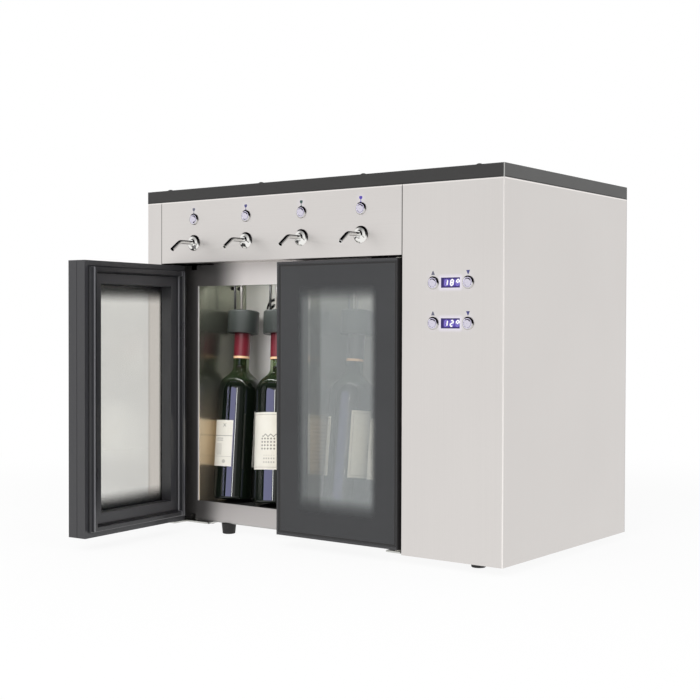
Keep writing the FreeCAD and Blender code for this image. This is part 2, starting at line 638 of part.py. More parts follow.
def door(hand):
    side = hand.name
    block = hand.slab("door_block", "0", "door_width", "0", "door_thick", "0", "door_height")
    rebate = hand.slab("pane_rebate", "hinge_lip", "door_width - door_lip", "-cut_over",
                       "shelf_depth", "door_lip", "door_height - door_lip")
    recess = hand.inset_slab("glazing_recess", "glazing_edge", "shelf_depth - cut_over",
                             "glazing_back")
    window = hand.inset_slab("window", "stile_width", "glazing_back - cut_over",
                             "door_thick + cut_over")
    groove = hand.slab("edge_groove", "door_width - groove_depth", "door_width + cut_over",
                       "door_thick / 2", "door_thick / 2 + groove_width", "-cut_over",
                       "door_height + cut_over")
    bores = [rod(f"bush_bore_{side}_{i}", "z", "0", "0", z, "bush_radius",
                 "bush_depth + cut_over", casing=False)
             for i, z in enumerate(("-cut_over", "door_height - bush_depth"))]
    edge, front, sign = f"-({hand.sign} * pivot_inset)", "-pivot_depth", hand.sign
    corner = padded(f"door_chamfer_{side}",
                    [(f"{edge} - {sign} * cut_over", f"{front} - cut_over"),
                     (f"{edge} + {sign} * chamfer_run", f"{front} - cut_over"),
                     (f"{edge} + {sign} * chamfer_run", front),
                     (edge, f"{front} + chamfer_depth"),
                     (f"{edge} - {sign} * cut_over", f"{front} + chamfer_depth")],
                    "door_height")
    hand.hang(cut(f"door_frame_{side}", block, rebate, recess, window, groove, *bores, corner))
    outer = hand.slab("outer_pane", "hinge_lip + glazing_fit",
                      "door_width - door_lip - glazing_fit", "pane_inset", "shelf_depth",
                      "door_lip + glazing_fit", "door_height - door_lip - glazing_fit")
    hand.hang(group(f"outer_glass_{side}", outer))
    hand.hang(hand.ring("glass_spacer", "(glazing_edge + glazing_fit)", "spacer_width",
                        "shelf_depth", "inner_pane_front"))
    inner = hand.inset_slab("inner_pane", "glazing_edge + glazing_fit", "inner_pane_front",
                            "glazing_back")
    hand.hang(group(f"inner_glass_{side}", inner))
    base = hand.ring("seal_foot", "seal_inset", "seal_width", "door_thick",
                     "door_thick + seal_base")
    bulb = hand.ring("seal_bulb", "(seal_inset + seal_shoulder)",
                     "(seal_width - 2 * seal_shoulder)", "door_thick + seal_base", "seal_tip")
    hand.hang(fuse(f"door_seal_{side}", base, bulb))
    door_bushes(hand)


def door_bushes(hand):
    """Flanged bushes that carry the door on its pins, one at the bottom and one at the top."""
    bore = "pin_radius + running_fit"
    flanges = {"low": "door_rise - pan_lift - moving_gap",
               "high": "door_top_gap - plate_gauge - moving_gap"}
    made = []
    for level, flange in flanges.items():
        sign = 1 if level == "low" else -1
        start = "0" if level == "low" else "door_height"
        made.append(turned(f"bush_{level}_{hand.name}",
                           [(bore, f"{start} + {sign} * bush_depth"),
                            ("bush_radius", f"{start} + {sign} * bush_depth"),
                            ("bush_radius", start), ("bush_radius + bush_flange", start),
                            ("bush_radius + bush_flange", f"{start} - {sign} * ({flange})"),
                            (bore, f"{start} - {sign} * ({flange})")]))
    hand.hang(group(f"door_bushes_{hand.name}", *made))


def hinge_hardware():
    plates, pins = [], []
    for hand in HANDS:
        sign, side = hand.sign, hand.name

        def across(near, far):
            ends = [f"{hand.pivot} + {sign} * ({near})", f"{hand.pivot} + {sign} * ({far})"]
            return ends if sign > 0 else ends[::-1]

        levels = {
            "low": ("pan_lift - plate_gauge", "pan_lift", "pan_lift", "pan_lift + plate_leg",
                    "pan_lift - plate_gauge", "door_rise + pin_depth"),
            "high": ("fascia_bottom - plate_gauge", "fascia_bottom",
                     "fascia_bottom - plate_leg", "fascia_bottom - plate_gauge",
                     "fascia_bottom - door_top_gap - pin_depth", "fascia_bottom"),
        }
        for level, (z0, z1, leg0, leg1, pin0, pin1) in levels.items():
            name = f"{level}_{side}"
            rear = "recess_depth + plate_rear" if level == "low" else "recess_depth"
            tongue = between(f"tongue_{name}", *across("-plate_margin", "plate_tongue"),
                             "pivot_depth - plate_margin", rear, z0, z1)
            arm = between(f"arm_{name}", *across("-plate_margin", "plate_arm"),
                          "recess_depth - plate_rear", rear, z0, z1)
            leg = between(f"leg_{name}", *across("plate_tongue", "plate_tongue + plate_leg"),
                          "recess_depth - plate_gauge", "recess_depth", leg0, leg1)
            hole = rod(f"pin_hole_{name}", "z", hand.pivot, "pivot_depth", f"{z0} - cut_over",
                       "pin_radius", "plate_gauge + 2 * cut_over")
            tools = [hole]
            if level == "low":
                starts = [(x, y, f"{z0} - cut_over") for x, y in plate_screw_places()
                          if x.startswith(hand.pivot)]
                tools += screw_holes(f"screw_hole_{side}", "z", starts,
                                     "plate_gauge + 2 * cut_over")
            plates.append(cut(f"plate_{name}", fuse(f"plate_blank_{name}", tongue, arm, leg),
                              *tools))
            pins.append(rod(f"pin_{name}", "z", hand.pivot, "pivot_depth", pin0, "pin_radius",
                            f"({pin1}) - ({pin0})"))
    keep(group("hinge_plates", *plates))
    keep(group("hinge_pins", *pins))


# ---------------------------------------------------------------- taps

def tap_places():
    return [f"recess_mid + {step} * tap_pitch" for step in (-1.5, -0.5, 0.5, 1.5)]


def taps():
    """Bent spouts on domed flanges, made pointing out of the front face."""
    body = doc.addObject("PartDesign::Body", "spout")
    path = body.newObject("Sketcher::SketchObject", "spout_path")
    plane = next(f for f in body.Origin.OriginFeatures if f.Role == "YZ_Plane")
    path.AttachmentSupport = [(plane, "")]
    path.MapMode = "FlatFace"
    bend, shank = number("spout_bend"), number("spout_shank + sheet_gauge")
    knee = FreeCAD.Vector(-number("spout_reach"), 0, 0)
    fall = FreeCAD.Vector(-number("spout_run"), -number("spout_drop"), 0)
    tip = knee + fall
    cutback = bend * math.tan(fall.getAngle(knee) / 2)
    arc_start = knee + FreeCAD.Vector(cutback, 0, 0)
    arc_end = knee + fall.normalize() * cutback
    centre = arc_start - FreeCAD.Vector(0, bend, 0)
    arc_mid = centre + (knee - centre).normalize() * bend
    path.addGeometry(Part.LineSegment(FreeCAD.Vector(shank, 0, 0), arc_start))
    path.addGeometry(Part.Arc(arc_start, arc_mid, arc_end))
    path.addGeometry(Part.LineSegment(arc_end, tip))
    ring = body.newObject("Sketcher::SketchObject", "spout_ring")
    ring.AttachmentSupport = [(next(f for f in body.Origin.OriginFeatures
                                    if f.Role == "XZ_Plane"), "")]
    ring.MapMode = "FlatFace"
    ring.AttachmentOffset = FreeCAD.Placement(FreeCAD.Vector(0, 0, -shank), FreeCAD.Rotation())
    for index, size in enumerate(("spout_radius", "spout_bore")):
        ring.addGeometry(Part.Circle(FreeCAD.Vector(), FreeCAD.Vector(0, 0, 1), number(size)))
        ring.addConstraint(Sketcher.Constraint("Coincident", index, 3, -1, 1))
        radius = ring.addConstraint(Sketcher.Constraint("Radius", index, number(size)))
        ring.setExpression(f"Constraints[{radius}]", formula(size))
    pipe = body.newObject("PartDesign::AdditivePipe", "spout_pipe")
    pipe.Profile = ring
    pipe.Spine = (path, [])
    keep(copies("spouts", body, [spot(x, "0", "tap_z") for x in tap_places()]))
    bore = "spout_radius + spout_fit"
    flange = turned("tap_flange", [(bore, "0"), ("tap_flange_radius", "0"),
                                   ("tap_flange_radius", "rim_thick"),
                                   ("tap_flange_radius - dome_width", "dome_height"),
                                   ("spout_radius + neck_foot", "tap_flange_thick - neck_sink"),
                                   ("spout_radius + neck_wall", "tap_flange_thick + neck_rise"),
                                   (bore, "tap_flange_thick + neck_rise")],
                    rounds=[("tap_flange_radius", "rim_thick", "rim_round"),
                            ("tap_flange_radius - dome_width", "dome_height", "dome_round")])
    keep(copies("tap_flanges", flange,
                [spot(x, "0", "tap_z", OUT_OF_FRONT) for x in tap_places()]))


# ---------------------------------------------------------------- buttons and displays

def set_button_places():
    return [(f"set_x {side} set_spread", row) for row in ("set_row_high", "set_row_low")
            for side in ("-", "+")]


def buttons():
    """Each button is a fixed housing with a lit ring, and a cap that is pushed in."""
    housing = turned("button_housing_one",
                     [("ring_radius", "0"), ("ring_radius", "bezel_thick"),
                      ("bezel_radius - bezel_bevel", "bezel_thick"),
                      ("bezel_radius", "bezel_thick - bezel_fall"),
                      ("bezel_radius", "0"), ("barrel_radius", "0"),
                      ("barrel_radius", "-barrel_depth"), ("0", "-barrel_depth"),
                      ("0", "-barrel_depth + barrel_floor"),
                      ("cap_radius + moving_gap", "-barrel_depth + barrel_floor"),
                      ("cap_radius + moving_gap", "0")])
    lit = turned("light_ring_one", [("cap_radius + moving_gap", "0"), ("ring_radius", "0"),
                                    ("ring_radius", "bezel_thick - ring_sink"),
                                    ("cap_radius + moving_gap", "bezel_thick - ring_sink")])
    cap = turned("cap_one", [("0", "-cap_depth"), ("cap_radius", "-cap_depth"),
                             ("cap_radius", "bezel_thick + cap_rim"),
                             ("cap_radius - cap_bevel", "bezel_thick + cap_shoulder"),
                             ("0", "bezel_thick + cap_crown")])
    taps_ = [spot(x, "0", "tap_button_z", OUT_OF_FRONT) for x in tap_places()]
    sets = [spot(x, "0", z, OUT_OF_FRONT) for x, z in set_button_places()]
    keep(copies("button_housings", housing, taps_ + sets))
    keep(copies("button_light_rings", lit, taps_ + sets))
    for index, place_ in enumerate(taps_, start=1):
        keep(copies(f"tap_button_{index}", cap, [place_]))
    names = ("upper_raise_button", "upper_lower_button", "lower_raise_button",
             "lower_lower_button")
    for name, place_ in zip(names, sets):
        keep(copies(name, cap, [place_]))


def display():
    rows = ("set_row_high", "set_row_low")
    back = "lens_sink + lens_gauge"
    lenses = [between(f"lens_{i}", "set_x - display_width / 2 + lens_fit",
                      "set_x + display_width / 2 - lens_fit", "lens_sink", back,
                      f"{z} - display_height / 2 + lens_fit",
                      f"{z} + display_height / 2 - lens_fit")
              for i, z in enumerate(rows)]
    keep(group("display_lenses", *lenses))
    board = between("board_plate", "set_x - set_spread - board_side",
                    "set_x + set_spread + board_side", "board_gap", "board_gap + board_gauge",
                    "set_row_low - board_end", "set_row_high + board_end")
    modules = [between(f"module_{i}", "set_x - display_width / 2 + module_edge",
                       "set_x + display_width / 2 - module_edge", back, "board_gap",
                       f"{z} - display_height / 2 + module_edge",
                       f"{z} + display_height / 2 - module_edge")
               for i, z in enumerate(rows)]
    posts = [rod(f"board_post_{i}", "y", f"set_x {side} (set_spread + post_side)",
                 "sheet_gauge", f"set_row_{row} {step} post_end", "post_size",
                 "board_gap - sheet_gauge")
             for i, (side, row, step) in enumerate((("-", "low", "-"), ("+", "low", "-"),
                                                    ("-", "high", "+"), ("+", "high", "+")))]
    keep(fuse("control_board", board, *modules, *posts))


# ---------------------------------------------------------------- bottles and heads

# Where each bottle stands across the cavity, and how far it swings to the left.
STANDS = [("zone_left + left_bottle_a", "bottle_a_swing"),
          ("zone_left + left_bottle_b", "bottle_b_swing"),
          ("divider_right + right_bottle_a", "0"), ("divider_right + right_bottle_b", "0")]

# Each bottle's front label, and the bearing in degrees that its middle faces.
LABEL_FACING = [("short", -131), ("tall", -73), ("high", 17), ("tall", -105)]


def bottle_places():
    """Each bottle's placement: it leans back on its heel, and the left two also sideways."""
    heel, back = number("heel_radius"), number("bottle_lean")
    flat = number("bottle_radius") - heel
    places = []
    for x, sideways in STANDS:
        swing = number(sideways)
        lean = math.hypot(swing, back)
        tilt = math.radians(lean)
        rise = flat * math.sin(tilt) + heel * (math.cos(tilt) - 1)
        foot = point(x, "bottle_y", f"cavity_floor + standing_gap + {rise}")
        places.append(FreeCAD.Placement(foot, FreeCAD.Rotation(
            FreeCAD.Vector(-back, -swing, 0), lean)))
    return places


def tube_starts():
    """Where the gas and the wine tube of each head leave its top: (gas, wine) pairs."""
    ports = [FreeCAD.Vector(number(f"{name}_port_x"), number(f"{name}_port_y"),
                            number("head_top")) for name in ("gas", "wine")]
    rise = FreeCAD.Vector(0, 0, number("port_rise"))
    return [[place_.multVec(port) + rise for port in ports] for place_ in bottle_places()]


def tube_holes(name, z, length):
    """Clearance holes for the tubes that go up from the heads."""
    holes = []
    shift = origin_shift()
    for i, pair in enumerate(tube_starts()):
        for start, size in zip(pair, ("gas_tube_radius", "wine_tube_radius")):
            spot_ = start - shift
            holes.append(rod(f"{name}_{size}_{i}", "z", f"{spot_.x:.6f}", f"{spot_.y:.6f}", z,
                             f"{size} + tube_fit", length))
    return holes


def bottles():
    places = bottle_places()
    inner = "bottle_radius - glass_wall"
    glass = turned("bottle", [("0", "0"), ("bottle_radius", "0"),
                              ("bottle_radius", "shoulder_start"), ("neck_radius", "shoulder_end"),
                              ("neck_radius", "bottle_height"), ("mouth_radius", "bottle_height"),
                              ("mouth_radius", "shoulder_end"), (inner, "shoulder_start"),
                              (inner, "glass_wall"), ("0", "glass_wall")],
                   rounds=[("bottle_radius", "0", "heel_radius"),
                           ("bottle_radius", "shoulder_start", "shoulder_round"),
                           ("neck_radius", "shoulder_end", "neck_round")])
    keep(copies("bottle_glass", glass, places))
    gap = "dip_radius + dip_fit"
    wine = turned("wine", [(gap, "glass_wall"), (inner, "glass_wall"), (inner, "shoulder_start"),
                           ("mouth_radius", "shoulder_end"), ("mouth_radius", "fill_height"),
                           (gap, "fill_height")])
    keep(copies("bottle_wine", wine, places))
    skin, outside = "neck_radius + glue_gap", "neck_radius + capsule_gauge"
    low, high = "head_bottom - capsule_drop", "head_bottom - capsule_drop + capsule_length"
    capsule = turned("capsule", [(skin, low), (outside, low), (outside, high), (skin, high)])
    keep(copies("bottle_capsules", capsule, places))
    bore = "neck_radius + head_gap"
    head = turned("head", [(bore, "head_bottom"), ("head_radius", "head_bottom"),
                           ("head_radius", "head_top"), ("0", "head_top"), ("0", "plug_top"),
                           (bore, "plug_top")],
                  rounds=[("head_radius", "head_top", "head_round"),
                          ("head_radius", "head_bottom", "head_foot_round")])
    keep(copies("dispensing_heads", head, places))
    plug_end = "bottle_height - plug_length"
    plug = turned("plug", [("0", plug_end), ("mouth_radius - plug_fit", plug_end),
                           ("mouth_radius - plug_fit", "bottle_height"),
                           ("neck_radius", "bottle_height"), ("neck_radius", "plug_top"),
                           ("0", "plug_top")])
    dip = turned("dip_tube", [("dip_bore", "glass_wall + dip_lift"),
                              ("dip_radius", "glass_wall + dip_lift"),
                              ("dip_radius", plug_end), ("dip_bore", plug_end)])
    keep(copies("head_stoppers", group("stopper", plug, dip), places))
    labels(places)


def labels(places):
    """A front and a back label on each bottle, as thin curved sheets facing their own way."""
    paste, skin = "bottle_radius + glue_gap", "bottle_radius + label_gauge"
    masters = {}
    for name, tall, wrap in (("short", "label_short", "label_wrap"),
                             ("tall", "label_tall", "label_wrap"),
                             ("high", "label_high", "label_wrap"),
                             ("rear", "label_tall", "back_label_wrap")):
        top = f"label_low + {tall}"
        corners = [(paste, "label_low"), (skin, "label_low"), (skin, top), (paste, top)]
        masters[name] = turned(f"label_{name}", corners, angle=wrap)
    doc.recompute()
    shapes = []
    for place_, (name, aim) in zip(places, LABEL_FACING):
        for master, centre, wrap in ((name, aim, "label_wrap"),
                                     ("rear", aim + 180, "back_label_wrap")):
            turn = FreeCAD.Rotation(FreeCAD.Vector(0, 0, 1), centre - number(wrap) / 2)
            full = place_.multiply(FreeCAD.Placement(FreeCAD.Vector(), turn))
            shapes.append(masters[master].Shape.transformed(full.toMatrix(), True))
    keep(feature("bottle_labels", Part.makeCompound(shapes)))


# ---------------------------------------------------------------- tubes, valves and gas

def tubes_and_valves():
    shift = origin_shift()
    bend = number("tube_bend")
    wine, gas = [], []
    for (gas_start, wine_start), tap_x in zip(tube_starts(), tap_places()):
        inlet = point(tap_x, "sheet_gauge + valve_depth", "tap_z")
        behind = inlet + FreeCAD.Vector(0, number("valve_run"), 0)
        above = FreeCAD.Vector(wine_start.x, wine_start.y, inlet.z)
        wine.append(tube([wine_start, above, behind, inlet], number("wine_tube_radius"), bend))
        line_z = number("gas_line_z") + shift.z
        corner = FreeCAD.Vector(gas_start.x, gas_start.y, line_z)
        seat = FreeCAD.Vector(gas_start.x, number("manifold_y") + shift.y, line_z)
        gas.append(tube([gas_start, corner, seat], number("gas_tube_radius"), bend))
    middle = "body_depth - gas_inlet_length - regulator_depth / 2"
    regulator_top = point("gas_inlet_x", middle, "gas_inlet_z + regulator_size / 2")
    riser = point("gas_inlet_x", middle, "gas_line_z")
    turn = point("gas_inlet_x", "manifold_y + manifold_size / 2", "gas_line_z")
    manifold_end = point("zone_end", "manifold_y + manifold_size / 2", "gas_line_z")
    gas.append(tube([regulator_top, riser, turn, manifold_end], number("gas_tube_radius"),
                    number("supply_bend")))
    keep(feature("wine_tubes", Part.makeCompound(wine)))
    keep(feature("gas_tubes", Part.makeCompound(gas)))

    valve = box("valve_block", "-valve_width / 2", "0", "-valve_height / 2", "valve_width",
                "valve_depth", "valve_height", casing=False)
    shank = rod("valve_socket", "y", "0", "-cut_over", "0", "spout_radius",
                "spout_shank + cut_over", casing=False)
    keep(copies("solenoid_valves", cut("valve", valve, shank),
                [spot(x, "sheet_gauge", "tap_z") for x in tap_places()]))

    inlet_body = rod("inlet_body", "y", "gas_inlet_x", "body_depth - gas_inlet_length",
                     "gas_inlet_z", "gas_inlet_radius", "gas_inlet_length + gas_inlet_proud")
    collar = rod("inlet_collar", "y", "gas_inlet_x", "body_depth", "gas_inlet_z",
                 "gas_inlet_radius + collar_width", "collar_thick")
    inlet_bore = rod("inlet_bore", "y", "gas_inlet_x",
                     "body_depth + gas_inlet_proud - gas_inlet_length", "gas_inlet_z",
                     "gas_inlet_bore", "gas_inlet_length + cut_over")
    back = "body_depth - gas_inlet_length"
    front = f"{back} - regulator_depth"
    regulator = between("regulator", "gas_inlet_x - regulator_size / 2",
                        "gas_inlet_x + regulator_size / 2", front, back,
                        "gas_inlet_z - regulator_size / 2", "gas_inlet_z + regulator_size / 2")
    inlet = cut("inlet", fuse("inlet_blank", inlet_body, collar), inlet_bore)
    manifold = between("manifold", "zone_left", "zone_end", "manifold_y",
                       "manifold_y + manifold_size", "fascia_bottom",
                       "fascia_bottom + manifold_size")
    keep(group("gas_fittings", inlet, regulator, manifold))


# ---------------------------------------------------------------- cooling

# How many blades a wheel has, and their slant in degrees.
SMALL_WHEEL, LARGE_WHEEL = (7, 35), (9, 40)


def rotor(label, radius, hub, depth, blades, slant):
    """A fan wheel made about Z: a bored hub and blades set at a slant."""
    bore = number("post_radius + running_fit")
    gauge, edge, root = number("blade_gauge"), number("blade_edge") * depth, number("cut_over")
    hub_solid = Part.makeCylinder(hub, depth).cut(Part.makeCylinder(bore, depth))
    parts = []
    for i in range(blades):
        blade = Part.makeBox(radius - hub + 2 * root, gauge, depth - 2 * edge)
        blade.translate(FreeCAD.Vector(hub - root, -gauge / 2, edge))
        blade.rotate(FreeCAD.Vector(0, 0, depth / 2), FreeCAD.Vector(1, 0, 0), slant)
        blade.rotate(FreeCAD.Vector(), FreeCAD.Vector(0, 0, 1), 360 * i / blades)
        parts.append(blade)
    ring = Part.makeCylinder(radius, depth)
    wheel = hub_solid.fuse(parts).common(ring.cut(Part.makeCylinder(bore, depth)))
    return feature(label, wheel.removeSplitter())


def fan_frame(label, size, radius, depth, hub):
    """A square frame with a round throat, and a rear spider that carries the wheel's post."""
    gap, gauge, width = (number(t) for t in ("throat_gap", "spider_gauge", "spider_width"))
    block = Part.makeBox(size, size, depth, FreeCAD.Vector(-size / 2, -size / 2, 0))
    shell = block.cut(Part.makeCylinder(radius + gap, depth))
    spider = Part.makeCylinder(hub, gauge)
    reach = radius + 2 * gap
    for angle in (45, 135):
        arm = Part.makeBox(2 * reach, width, gauge, FreeCAD.Vector(-reach, -width / 2, 0))
        arm.rotate(FreeCAD.Vector(), FreeCAD.Vector(0, 0, 1), angle)
        spider = spider.fuse(arm)
    post = Part.makeCylinder(number("post_radius"), depth - gap)
    return feature(label, shell.fuse([spider, post]).removeSplitter())


def cooling():
    radius, hub = number("fan_radius"), number("hub_radius")
    frame = fan_frame("small_fan_frame", number("fan_frame"), radius, number("fan_depth"), hub)
    wheel = rotor("small_fan_wheel", radius, hub, number("fan_depth - fan_gap - fan_end_gap"),
                  *SMALL_WHEEL)
    seats = [spot(x, "fan_back", "guard_height", OUT_OF_FRONT)
             for x in ("guard_left", "guard_right")]
    wheel_seats = [spot(x, "fan_back - fan_gap", "guard_height", OUT_OF_FRONT)
                   for x in ("guard_left", "guard_right")]
    radius, hub = number("exhaust_radius"), number("exhaust_hub")
    big_frame = fan_frame("exhaust_fan_frame", number("exhaust_frame"), radius,
                          number("exhaust_depth"), hub)
    big_wheel = rotor("exhaust_wheel", radius, hub, number("exhaust_depth - 2 * exhaust_gap"),
                      *LARGE_WHEEL)
    front = "body_depth - sheet_gauge - exhaust_depth"
    big_seat = spot("exhaust_x", front, "exhaust_z", ALONG_Y)
    big_wheel_seat = spot("exhaust_x", f"{front} + exhaust_gap", "exhaust_z", ALONG_Y)
    doc.recompute()
    frames = [frame.Shape.transformed(seat.toMatrix(), True) for seat in seats]
    frames.append(big_frame.Shape.transformed(big_seat.toMatrix(), True))
    keep(feature("fan_frames", Part.makeCompound(frames)))
    keep(copies("circulation_fan_left", wheel, wheel_seats[:1]))
    keep(copies("circulation_fan_right", wheel, wheel_seats[1:]))
    keep(copies("exhaust_fan", big_wheel, [big_wheel_seat]))
    keep(feature("cooling_blocks", Part.makeCompound(
        [shape for x in ("guard_left", "guard_right") for shape in cooling_stack(x)])))


def cooling_stack(x):
    """Cold block, Peltier tile and finned hot block of one zone, from front to back."""
    def slab(size, y0, y1):
        half = number(size) / 2
        low = point(f"{x} - {half}", y0, f"guard_height - {half}")
        return Part.makeBox(2 * half, number(f"({y1}) - ({y0})"), 2 * half, low)

    cold = slab("cold_block", "tile_front - cold_depth", "tile_front")
    tile = slab("tile_size", "tile_front", "foam_back")
    hot = slab("hot_block", "foam_back", "foam_back + hot_depth")
    pitch, gauge, size = number("fin_pitch"), number("fin_gauge"), number("hot_block")
    over = number("cut_over")
    corner = point(f"{x} - hot_block / 2", "foam_back + hot_floor",
                   "guard_height - hot_block / 2")
    count = int((size - gauge) // pitch)
    grooves = [Part.makeBox(pitch - gauge, number("hot_depth"), size + 2 * over,
                            corner + FreeCAD.Vector(gauge + i * pitch, 0, -over))
               for i in range(count)]
    return [cold, tile, hot.cut(Part.makeCompound(grooves))]


# Where the three blades of the power socket stand from its middle.
BLADES = [(-7, -1), (0, 3), (7, -1)]


def socket_block(label, margin, y0, y1):
    """A block about the power socket's middle, between two depths from the back face."""
    return between(label, f"socket_x - socket_width / 2 - ({margin})",
                   f"socket_x + socket_width / 2 + ({margin})", f"body_depth + ({y0})",
                   f"body_depth + ({y1})", f"socket_z - socket_height / 2 - ({margin})",
                   f"socket_z + socket_height / 2 + ({margin})")


def electrics():
    left = "set_x - supply_width / 2"
    keep(box("power_supply", left, "body_depth / 2 - supply_depth / 2", "pan_top",
             "supply_width", "supply_depth", "supply_height"))
    flange = socket_block("socket_flange", "socket_lip", "0", "socket_flange")
    shell = socket_block("socket_shell", "-seam", "-socket_depth", "0")
    hollow = socket_block("socket_hollow", "-socket_wall", "socket_floor - socket_depth",
                          "cut_deep")
    blades = [between(f"socket_blade_{i}", f"socket_x + {x} - blade_half",
                      f"socket_x + {x} + blade_half", "body_depth + blade_root - socket_depth",
                      "body_depth - blade_end", f"socket_z + {z} - blade_rise",
                      f"socket_z + {z} + blade_rise")
              for i, (x, z) in enumerate(BLADES)]
    empty = cut("socket_cup", fuse("socket_blank", flange, shell), hollow)
    keep(fuse("power_inlet", empty, *blades))


# ---------------------------------------------------------------- build, check, write

side_panel_left()
side_panel_right()
fascia_panel()
top_cover()
back_panel()
base_pan()
cavity_trims()
liner()
insulation()
feet()
screws()
for each_hand in HANDS:
    door(each_hand)
hinge_hardware()
taps()
buttons()
display()
bottles()
tubes_and_valves()
cooling()
electrics()
doc.recompute()

for thing in doc.Objects:
    if "Invalid" in thing.State or "Error" in thing.State:
        raise RuntimeError(f"{thing.Label} failed: {thing.State}")
os.makedirs("parts", exist_ok=True)
for made in nodes:
    if made.Shape.isNull() or not made.Shape.isValid():
        raise RuntimeError(f"{made.Label} has no valid shape")
for made in nodes:
    made.Shape.exportStep(os.path.join("parts", made.Label + ".step"))
print(f"{len(nodes)} sub-parts, {sum(len(made.Shape.Solids) for made in nodes)} solids")
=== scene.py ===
"""Looks of a counter-top wine dispenser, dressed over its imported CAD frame.

Lengths are in metres, in the frame's own axes: X to the right across the front, Y from the
front towards the back, and Z up from the standing surface.
"""

import json
import logging
import math
from dataclasses import dataclass
from enum import Enum
from functools import reduce
from typing import Mapping, Sequence, Union

import bmesh
import bpy
from mathutils import Euler, Matrix, Vector


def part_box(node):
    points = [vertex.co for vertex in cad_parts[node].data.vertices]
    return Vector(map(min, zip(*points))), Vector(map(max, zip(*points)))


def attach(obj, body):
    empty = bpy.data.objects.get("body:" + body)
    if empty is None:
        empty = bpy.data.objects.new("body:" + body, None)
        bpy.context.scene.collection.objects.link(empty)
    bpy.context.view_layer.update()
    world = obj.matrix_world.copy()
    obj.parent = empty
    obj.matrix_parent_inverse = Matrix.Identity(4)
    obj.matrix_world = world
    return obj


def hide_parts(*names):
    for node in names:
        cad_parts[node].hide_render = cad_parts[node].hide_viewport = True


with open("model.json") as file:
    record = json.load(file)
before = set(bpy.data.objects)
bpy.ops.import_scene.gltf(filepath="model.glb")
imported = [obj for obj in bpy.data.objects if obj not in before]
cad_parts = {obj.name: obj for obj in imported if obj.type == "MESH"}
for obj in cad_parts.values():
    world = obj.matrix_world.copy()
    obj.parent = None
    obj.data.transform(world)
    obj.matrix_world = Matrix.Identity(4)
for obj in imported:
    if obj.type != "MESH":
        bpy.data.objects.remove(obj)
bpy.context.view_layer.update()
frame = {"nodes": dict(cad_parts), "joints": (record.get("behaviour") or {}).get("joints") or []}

LOG = logging.getLogger("dispenser")
MM = 0.001

Triple = tuple[float, float, float]
Colour = Triple
Point = tuple[float, float]
Operand = Union[float, tuple, "Wire"]


def mm(*lengths: float) -> tuple[float, ...]:
    """Millimetres as metres."""
    return tuple(length * MM for length in lengths)


def tone(red: int, green: int, blue: int) -> Colour:
    """The linear colour of an 8-bit display colour.

    Args:
        red: its red, from 0 to 255.
        green: its green.
        blue: its blue.

    Returns:
        The colour, from 0 to 1.
    """
    shares = (level / 255 for level in (red, green, blue))
    return tuple(share / 12.92 if share <= 0.04045 else ((share + 0.055) / 1.055) ** 2.4
                 for share in shares)


def shade(colour: Colour, factor: float) -> Colour:
    """The colour made lighter or darker by a factor."""
    return tuple(min(channel * factor, 1.0) for channel in colour)


WHITE: Colour = (1.0, 1.0, 1.0)
BLACK: Colour = (0.0, 0.0, 0.0)
# near-black laid on for painted shade and painted dark reflections
PAINTED_DARK: Colour = (0.004, 0.003, 0.003)
# LILAC is the colour of the painted glow that lit signs throw on the casing steel.
LILAC = tone(196, 186, 250)
RIGHTWARD: Triple = (1.0, 0.0, 0.0)
INWARD: Triple = (0.0, 1.0, 0.0)
FORWARD: Triple = (0.0, -1.0, 0.0)


# ---------------------------------------------------------------- shader maths

